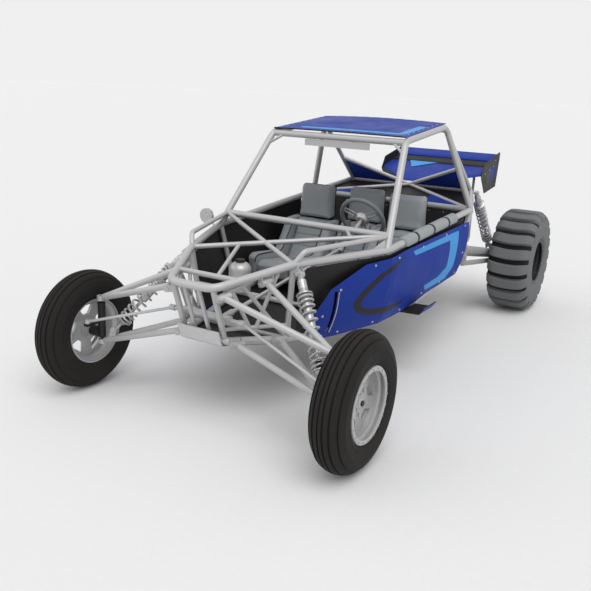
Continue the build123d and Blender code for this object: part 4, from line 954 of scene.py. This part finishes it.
def build_rest():
    """A sleeve that is open below, where it was slipped on, and its three straps."""
    shape = bmesh.new()
    along = (REST_REAR - REST_FRONT).normalized()
    place = axis_place(REST_FRONT, along, UP)
    long = (REST_REAR - REST_FRONT).length
    angles = [math.radians(-180 + REST_OPEN + (360 - 2 * REST_OPEN) * step / 28) for step in range(29)]
    rings = []
    for step in range(REST_STATIONS + 1):
        share = step / REST_STATIONS
        ring = [(rest_radius(share), a) for a in angles] + [(REST_INNER_R, a) for a in angles[::-1]]
        rings.append([place @ polar(radius, a, share * long / MM) for radius, a in ring])
    add_loft(shape, rings)
    vinyl = [finishes["seat_grey"]]
    rest = new_piece("arm_rest_sleeve", shape, "chassis", vinyl, ["arm_rest"], 60)
    straps = bmesh.new()
    for strap in REST_STRAPS:
        middle = place @ Matrix.Translation((0, 0, strap * long))
        rings = [
            [[straps.verts.new(middle @ polar(radius, a, height)) for a in angles] for radius in STRAP_RADII]
            for height in (-STRAP_HALF, STRAP_HALF)
        ]
        (low_in, low_out), (high_in, high_out) = rings
        for step in range(len(angles) - 1):
            straps.faces.new((low_out[step], low_out[step + 1], high_out[step + 1], high_out[step]))
            straps.faces.new((low_in[step], high_in[step], high_in[step + 1], low_in[step + 1]))
            straps.faces.new((low_in[step], low_in[step + 1], low_out[step + 1], low_out[step]))
            straps.faces.new((high_in[step], high_out[step], high_out[step + 1], high_in[step + 1]))
    new_piece("arm_rest_straps", straps, "chassis", [piping_black], (), 40)


build_rest()

# %% [markdown]
# The wing is built as its maker would: two blades with a round nose and a thin
# tail, black end plates bolted to them, and four silver struts with flat lugs.

# %% Rear wing
WING_HALF = 440
MAIN_LINE = ((2776, 1056), (3388, 1186))
FLAP_LINE = ((3378, 1217), (3521, 1269))
# The black band over the blades' gap is painted shade, where the slot looks dark.
GAP_SHADE_LINE = ((3285, 1178), (3398, 1219))
# The light blue triangle on the main blade is a painted highlight.
WING_HIGHLIGHT = [(-290, 3310), (-20, 3290), (-190, 3110)]
WING_END = [(3050, 1112), (3110, 1208), (3512, 1290), (3530, 1270), (3480, 1000), (3180, 968)]
BLADE_STATIONS = 22
BLADE_STEPS = [0, 0.006, 0.02, 0.05, 0.1, 0.3, 0.6, 0.85, 1]
END_BOLTS = [(3140, 1132), (3250, 1157), (3355, 1180), (3400, 1226), (3490, 1258)]
END_PATCH = [(3255, 1150), (3468, 1196), (3330, 1040)]
END_THICK = 5.5
STRUT_R = 10.8
WING_STRUTS = [((120, 2620, 1050), (220, 2960, 1088)), ((330, 3230, 900), (322, 3255, 1148))]


def wing_lead(x):
    """Where the main blade starts: it is pointed towards the front in plan."""
    return 2780 + max(0, abs(x) - 120) * 300 / 320


def blade_top(y):
    """Height of the main blade's upper skin."""
    (y_from, z_from), (y_to, z_to) = MAIN_LINE
    return z_from + (z_to - z_from) / (y_to - y_from) * (y - y_from) + 11


def blade_section(x, line, lead, thick):
    """The blade's outline at one station: a blunt nose, and a tail a quarter as thick."""
    (y_from, z_from), (y_to, z_to) = line
    slope = (z_to - z_from) / (y_to - y_from)
    top, bottom = [], []
    for share in BLADE_STEPS:
        y = lead + (y_to - lead) * share
        half = thick * min(1, math.sqrt(share / 0.1)) * (1 - 0.75 * max(0, share - 0.3) / 0.7)
        z = z_from + slope * (y - y_from)
        top.append(at(x, y, z + half))
        bottom.append(at(x, y, z - half))
    return top + bottom[:0:-1]


def add_blade(shape, line, leads, thick, index=0):
    """A blade lofted from station to station between the end plates."""
    stations = [WING_HALF * (2 * step / BLADE_STATIONS - 1) for step in range(BLADE_STATIONS + 1)]
    add_loft(shape, [blade_section(x, line, leads(x), thick) for x in stations], index)


def build_wing():
    """Two blades, a black band over their gap as painted shade, a painted highlight on the main blade, two
    end plates and four struts.
    """
    shape = bmesh.new()
    add_blade(shape, MAIN_LINE, wing_lead, 11)
    add_blade(shape, FLAP_LINE, lambda x: FLAP_LINE[0][0], 7)
    # A thin black blade over the gap between the blades: painted shade.
    add_blade(shape, GAP_SHADE_LINE, lambda x: GAP_SHADE_LINE[0][0], 3, 1)
    # A light blue triangle on the main blade's top: a painted highlight.
    patch = [at(x, y, blade_top(y) + 0.5) for x, y in WING_HIGHLIGHT]
    add_plate(shape, patch, UP * 0.4 * MM, 2)
    new_piece(
        "wing_blades", shape, "chassis",
        [finishes["blue_paint"], finishes["black_sheet"], sky_paint], ["rear_wing"], 50,
    )
    plates = bmesh.new()
    for side in (1, -1):
        outwards = LEFT * side * MM
        add_plate(plates, [at(side * WING_HALF, y, z) for y, z in WING_END], outwards * END_THICK)
        for y, z in END_BOLTS:
            head = at(side * (WING_HALF + 5), y, z)
            add_rod(plates, head, head + outwards * 4, 7 * MM, 1, 6)
        patch = [at(side * (WING_HALF + END_THICK), y, z) for y, z in END_PATCH]
        add_plate(plates, patch, outwards * 0.5, 2)
    new_piece(
        "wing_end_plates", plates, "chassis",
        [finishes["black_sheet"], bolt_steel, finishes["blue_paint"]], ["rear_wing"],
    )
    struts = bmesh.new()
    for foot, top in WING_STRUTS:
        add_rod(struts, at(*foot), at(*top), STRUT_R * MM, 0, 20)
        pad = at(*top)
        add_rod(struts, pad - UP * 4 * MM, pad + UP * 2 * MM, 17 * MM, 0, 20)
        add_rod(struts, pad - UP * 8 * MM, pad - UP * 4 * MM, 8 * MM, 1, 6)
    add_mirrored(struts)
    new_piece(
        "wing_struts", struts, "chassis",
        [finishes["frame_silver"], bolt_steel], ["rear_wing"],
    )


build_wing()

# %% [markdown]
# The painted stripes follow the panels they are on. Each is a copy of the panel's
# own faces, cut to a convex outline by planes and lifted off by half a millimetre,
# so a stripe bends with its panel. A curved stripe is a chain of such outlines.

# %% Painted stripes
SEVEN_OUTER = [(1183, 836), (1893, 868), (1868, 740), (1862, 620), (1780, 548), (1462, 533)]
SEVEN_INNER = [(1216, 806), (1745, 822), (1742, 730), (1735, 640), (1620, 592), (1416, 573)]
HOOK_OUTER = [
    (1089, 821), (929, 800), (826, 753), (754, 702), (702, 655), (672, 611), (680, 574), (713, 542),
    (765, 519), (849, 499), (927, 493), (1028, 488), (1113, 501), (1187, 539),
]
HOOK_INNER = [
    (1082, 819), (974, 779), (878, 747), (806, 695), (760, 653), (732, 618), (725, 594), (741, 570),
    (781, 552), (858, 540), (936, 535), (1044, 529), (1126, 533), (1186, 538),
]
ROOF_STRIPE = [(-320, 1432), (372, 1428), (400, 1452), (398, 1790)]
ROOF_STRIPE_WIDE = 54
PATCH_LIFT = 0.0006


def band(line, width):
    """Convex outlines along a bent line, with mitred corners."""
    line = [Vector(point) for point in line]
    edges = []
    for number, point in enumerate(line):
        before = (point - line[number - 1]).normalized() if number else None
        after = (line[number + 1] - point).normalized() if number < len(line) - 1 else before
        before = before or after
        normal = Vector((-(before.y + after.y), before.x + after.x)).normalized()
        reach = width / 2 / max(normal.dot(Vector((-before.y, before.x))), 0.4)
        edges.append((point + normal * reach, point - normal * reach))
    return [[a[0], b[0], b[1], a[1]] for a, b in zip(edges, edges[1:])]


def chain(outer, inner):
    """Convex outlines between two curves with the same number of points."""
    pairs = list(zip(outer, inner))
    return [[Vector(p) for p in (a[0], b[0], b[1], a[1])] for a, b in zip(pairs, pairs[1:])]


def add_patch(shape, node, outline, drop, side):
    """A node's faces on one side, cut to an outline seen along the axis "drop", and lifted off."""
    kept = [axis for axis in range(3) if axis != drop]
    patch = bmesh.new()
    patch.from_mesh(nodes[node].data)
    wrong = [
        face for face in patch.faces
        if face.normal[drop] * side < 0.3 or (drop == 0 and face.calc_center_median().x * side < 0)
    ]
    bmesh.ops.delete(patch, geom=wrong, context="FACES")
    full = [at(point[0], point[1], 0) if drop == 2 else at(0, point[0], point[1]) for point in outline]
    flat = [Vector((point[kept[0]], point[kept[1]])) for point in full]
    middle = sum(flat, Vector((0, 0))) / len(flat)
    for start, end in zip(flat, flat[1:] + flat[:1]):
        if (end - start).length < 1e-5:
            continue
        normal = Vector((end.y - start.y, start.x - end.x)).normalized()
        if normal.dot(middle - start) > 0:
            normal = -normal
        place, direction = Vector((0, 0, 0)), Vector((0, 0, 0))
        for number, axis in enumerate(kept):
            place[axis] = start[number]
            direction[axis] = normal[number]
        everything = patch.verts[:] + patch.edges[:] + patch.faces[:]
        if everything:
            bmesh.ops.bisect_plane(
                patch, geom=everything, plane_co=place, plane_no=direction, clear_outer=True,
            )
    for vert in patch.verts:
        vert.co[drop] += side * PATCH_LIFT
    pour(patch, shape)


def stripe_piece(name, jobs, material):
    """A piece made of patches: (node, outlines, axis, sides)."""
    shape = bmesh.new()
    for node, outlines, drop, sides in jobs:
        for side in sides:
            for outline in outlines:
                add_patch(shape, node, outline, drop, side)
    bmesh.ops.remove_doubles(shape, verts=shape.verts, dist=1e-6)
    mesh = bpy.data.meshes.new(name)
    shape.to_mesh(mesh)
    shape.free()
    paint(mesh.polygons, 0)
    mesh.materials.clear()
    mesh.materials.append(material)
    mesh.shade_smooth()
    print(name, "has", len(mesh.polygons), "faces")
    ride_with(name, mesh, "chassis")


stripe_piece("sky_stripes", [
    ("side_panels", chain(SEVEN_OUTER, SEVEN_INNER), 0, (1, -1)),
    ("roof_panel", band(ROOF_STRIPE, ROOF_STRIPE_WIDE), 2, (1,)),
], sky_paint)
stripe_piece("black_hooks", [("side_panels", chain(HOOK_OUTER, HOOK_INNER), 0, (1, -1))],
             finishes["black_sheet"])

# %% [markdown]
# Sheet metal is held by small fasteners, and they show the scale. A ray towards
# the panel finds its surface, so each head sits flat on it whatever the curve.
# Side panels use quarter-turn studs, and the roof and the firewall use rivets.

# %% Fasteners
PANEL_STUDS = [
    (470, 560), (640, 430), (560, 700), (790, 810), (1000, 825), (1330, 840), (1690, 866), (2010, 885),
    (1985, 700), (1950, 560), (1700, 540), (1420, 520), (1180, 460), (900, 440),
]
ROOF_RIVETS = [(x, y) for x in (-440, 440) for y in range(1370, 2010, 80)] + [
    (x, y) for y in (1352, 2016) for x in range(-360, 361, 90)
]
HEAD_TAPER = 0.8
RAY_FROM_SIDE = 1200
SKID_BOLTS = [(-95, 120), (95, 120), (-95, 240), (95, 240)]


def add_head(shape, node, start, toward, radius, tall, sides, index=0):
    """A round or six-sided head where a ray from a point meets a node."""
    hit, place, normal, _ = nodes[node].ray_cast(start, toward)
    if hit:
        inside, top = place - normal * MM, place + normal * tall * MM
        add_rod(shape, inside, top, radius * MM, index, sides, radius * HEAD_TAPER * MM)


def build_fasteners():
    """Studs, rivets and bolts as one piece; each head stays apart, so nothing is merged."""
    shape = bmesh.new()
    for side in (1, -1):
        for y, z in PANEL_STUDS:
            start = at(side * RAY_FROM_SIDE, y, z)
            add_head(shape, "side_panels", start, LEFT * -side, 8, 2.4, 20)
            add_head(shape, "side_panels", start, LEFT * -side, 3, 3.4, 6, 1)
    for x, y in ROOF_RIVETS:
        add_head(shape, "roof_panel", at(x, y, 1800), -UP, 5, 2, 14)
    for x, y in SKID_BOLTS:
        add_head(shape, "skid_plate", at(x, y, 100), UP, 8, 3, 16)
    for x in range(-560, 561, 112):
        for z in (610, 930):
            add_head(shape, "firewall", at(x * (0.95 if z < 700 else 1), 1500, z), BACK, 4, 2, 12)
    metals = [bolt_steel, piping_black]
    new_piece("panel_fasteners", shape, "chassis", metals, (), 40, False)


build_fasteners()

# %% [markdown]
# The slot in each side panel gets a silver line along its rear edge, a painted
# highlight, and a black line under the roof's front edge is painted shade. The mirrors
# have their glass. The reservoir gets a filler cap and the band that clamps it.

# %% Trim, mirrors and reservoir
# Points along each slot's rear edge, where a silver line is a painted highlight.
SLOT_HIGHLIGHT = [(544, 690), (553, 565), (563, 444)]
# The roof edge sizes place a black line of painted shade under the roof's front edge.
ROOF_EDGE_Y, ROOF_EDGE_HALF, ROOF_SHADE_R = 1331, 470, 4.5
STEP_FROM, STEP_LONG = 1252, 211
STEP_RIMS = [
    [(686.5, 427), (716.2, 467.2), (714.6, 468.4), (684.6, 428.4)],
    [(600, 423.4), (686, 427.6), (686, 426.6), (600, 422.4)],
]
CABIN_GLASS = [(-226, 1404), (226, 1404), (226, 1438), (-226, 1438)]
SIDE_GLASS, SIDE_GLASS_R = (-620, 811, 945), 43
FILLER_CAP = [(-4, 0), (-4, 24), (2, 24), (4, 27), (14, 27), (17, 22), (18, 0)]
BAND_SECTION = [(-3, 61.5), (-3, 63.2), (3, 63.2), (3, 61.5)]
BAND_HEIGHTS = (30, 78)


def surface_point(node, start, toward):
    """Just proud of a node where a ray meets it, or None where it misses."""
    hit, place, normal, _ = nodes[node].ray_cast(start, toward)
    return place + normal * 1.5 * MM if hit else None


def build_trim():
    """Slot edges as painted highlight, a roof edge line as painted shade, step rims, mirror glass, reservoir
    cap and bands.
    """
    shape = bmesh.new()
    for side in (1, -1):
        # A silver line along the slot's rear edge: a painted highlight.
        points = [
            surface_point("side_panels", at(side * RAY_FROM_SIDE, y + 6, z), LEFT * -side)
            for y, z in SLOT_HIGHLIGHT
        ]
        if all(points):
            add_pipe(shape, smooth_path(points), 3 * MM, 0, 10)
        for rim in STEP_RIMS:
            add_plate(shape, [at(side * x, STEP_FROM, z) for x, z in rim], BACK * STEP_LONG * MM, 3)
    # A black line under the roof's front edge: painted shade.
    front = [
        at(x, ROOF_EDGE_Y, 1490 + 3 * (1 - (x / 474) ** 2))
        for x in range(-ROOF_EDGE_HALF, ROOF_EDGE_HALF + 1, 94)
    ]
    add_pipe(shape, front, ROOF_SHADE_R * MM, 2, 10)
    add_plate(shape, [at(x, 1340.2, z) for x, z in CABIN_GLASS], BACK * 0.8 * MM, 1)
    add_rod(shape, at(*SIDE_GLASS), at(*SIDE_GLASS) + BACK * MM, SIDE_GLASS_R * MM, 1, 40)
    low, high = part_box("reservoir")
    middle = (low + high) / 2
    top = Vector((middle.x, middle.y, high.z))
    add_turned(shape, FILLER_CAP, axis_place(top, UP), 40, index=2)
    for height in BAND_HEIGHTS:
        foot = Vector((middle.x, middle.y, low.z + height * MM))
        add_turned(shape, BAND_SECTION, axis_place(foot, UP), 56, closed=True)
    new_piece(
        "trim_and_glass", shape, "chassis",
        [finishes["fitting_silver"], mirror_glass, piping_black, finishes["blue_paint"]],
    )


build_trim()

# %% [markdown]
# The engine block is plain in the frame model. A belt round its pulleys, pulley
# faces, cover bolts, plug caps and a filter make it read as an engine from behind
# and through the cage. The gearbox gets its flange bolts.

# %% Engine details
ENGINE_FRONT = 2570
PULLEYS = [(0, 450, 84), (120, 560, 52), (-110, 600, 44)]
CAM = (78, 772, 46)
PORTS = [2640, 2730, 2820, 2910]
PORT_TOP = 762
OIL_FILTER = (-184, 2660, 520)
FLANGE_Y = 2996
FLANGE_BOLTS = [(-84, 520), (84, 520), (-118, 430), (118, 430), (-100, 350), (100, 350)]
BELT_FROM, BELT_TO = -28, -10
BELT_INSIDE, BELT_OUTSIDE = 0.5, 3


def belt_outline(circles, extra):
    """The convex outline round several circles, as (x, z) points."""
    points = []
    for x, z, radius in circles:
        reach = radius + extra
        points += [(x + reach * math.cos(a), z + reach * math.sin(a)) for a in circle_angles(36)]
    points = sorted(set(points))

    def half(ordered):
        """Keeps the points where the line turns outwards, one way along."""
        chain_of = []
        for p in ordered:
            while len(chain_of) > 1 and (
                (chain_of[-1][0] - chain_of[-2][0]) * (p[1] - chain_of[-2][1])
                - (chain_of[-1][1] - chain_of[-2][1]) * (p[0] - chain_of[-2][0])
            ) <= 0:
                chain_of.pop()
            chain_of.append(p)
        return chain_of[:-1]

    return half(points) + half(points[::-1])


def build_engine_details():
    """Belt, pulley faces, cover bolts, plug caps, oil filter and flange bolts."""
    shape = bmesh.new()
    outside = belt_outline(PULLEYS, BELT_OUTSIDE)
    inside = belt_outline(PULLEYS, BELT_INSIDE)
    count = min(len(outside), len(inside))
    add_loft(shape, [
        [at(x, ENGINE_FRONT + y, z) for x, z in line[:count]]
        for line, y in (
            (outside, BELT_FROM), (outside, BELT_TO), (inside, BELT_TO), (inside, BELT_FROM),
        )
    ], 1, closed=True)
    for x, z, radius in PULLEYS:
        face = at(x, ENGINE_FRONT - 34, z)
        add_rod(shape, face, face - BACK * 3 * MM, radius * 0.62 * MM, 0, 32, radius * 0.5 * MM)
        add_rod(shape, face - BACK * 3 * MM, face - BACK * 9 * MM, 9 * MM, 2, 6)
    cam_x, cam_z, cam_r = CAM
    for side in (1, -1):
        for y in range(2600, 2980, 60):
            foot = at(side * cam_x, y, cam_z + cam_r - 2)
            add_rod(shape, foot, foot + UP * 6 * MM, 6 * MM, 2, 6)
    for y in PORTS:
        base = at(0, y, PORT_TOP)
        add_rod(shape, base, base + UP * 34 * MM, 15 * MM, 1, 20, 13 * MM)
        add_rod(shape, base + UP * 34 * MM, base + UP * 42 * MM, 17 * MM, 1, 20, 15 * MM)
    oil = at(*OIL_FILTER)
    add_rod(shape, oil, oil - LEFT * 80 * MM, 36 * MM, 1, 32, 34 * MM)
    for x, z in FLANGE_BOLTS:
        flange = at(x, FLANGE_Y, z)
        add_rod(shape, flange - BACK * 10 * MM, flange + BACK * 6 * MM, 7 * MM, 2, 6)
    new_piece(
        "engine_details", shape, "chassis",
        [finishes["engine_alloy"], piping_black, bolt_steel],
    )


build_engine_details()

# %% [markdown]
# A last look at the sizes: the visual model has to stay inside the frame model's
# box, apart from what soft pads may stand proud. The difference is printed.

# %% Sizes and finish
visual_low, visual_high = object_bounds()
difference = [round(v - c, 4) for v, c in zip([*visual_low, *visual_high], [*cad_low, *cad_high])]
print("visual minus frame:", difference)
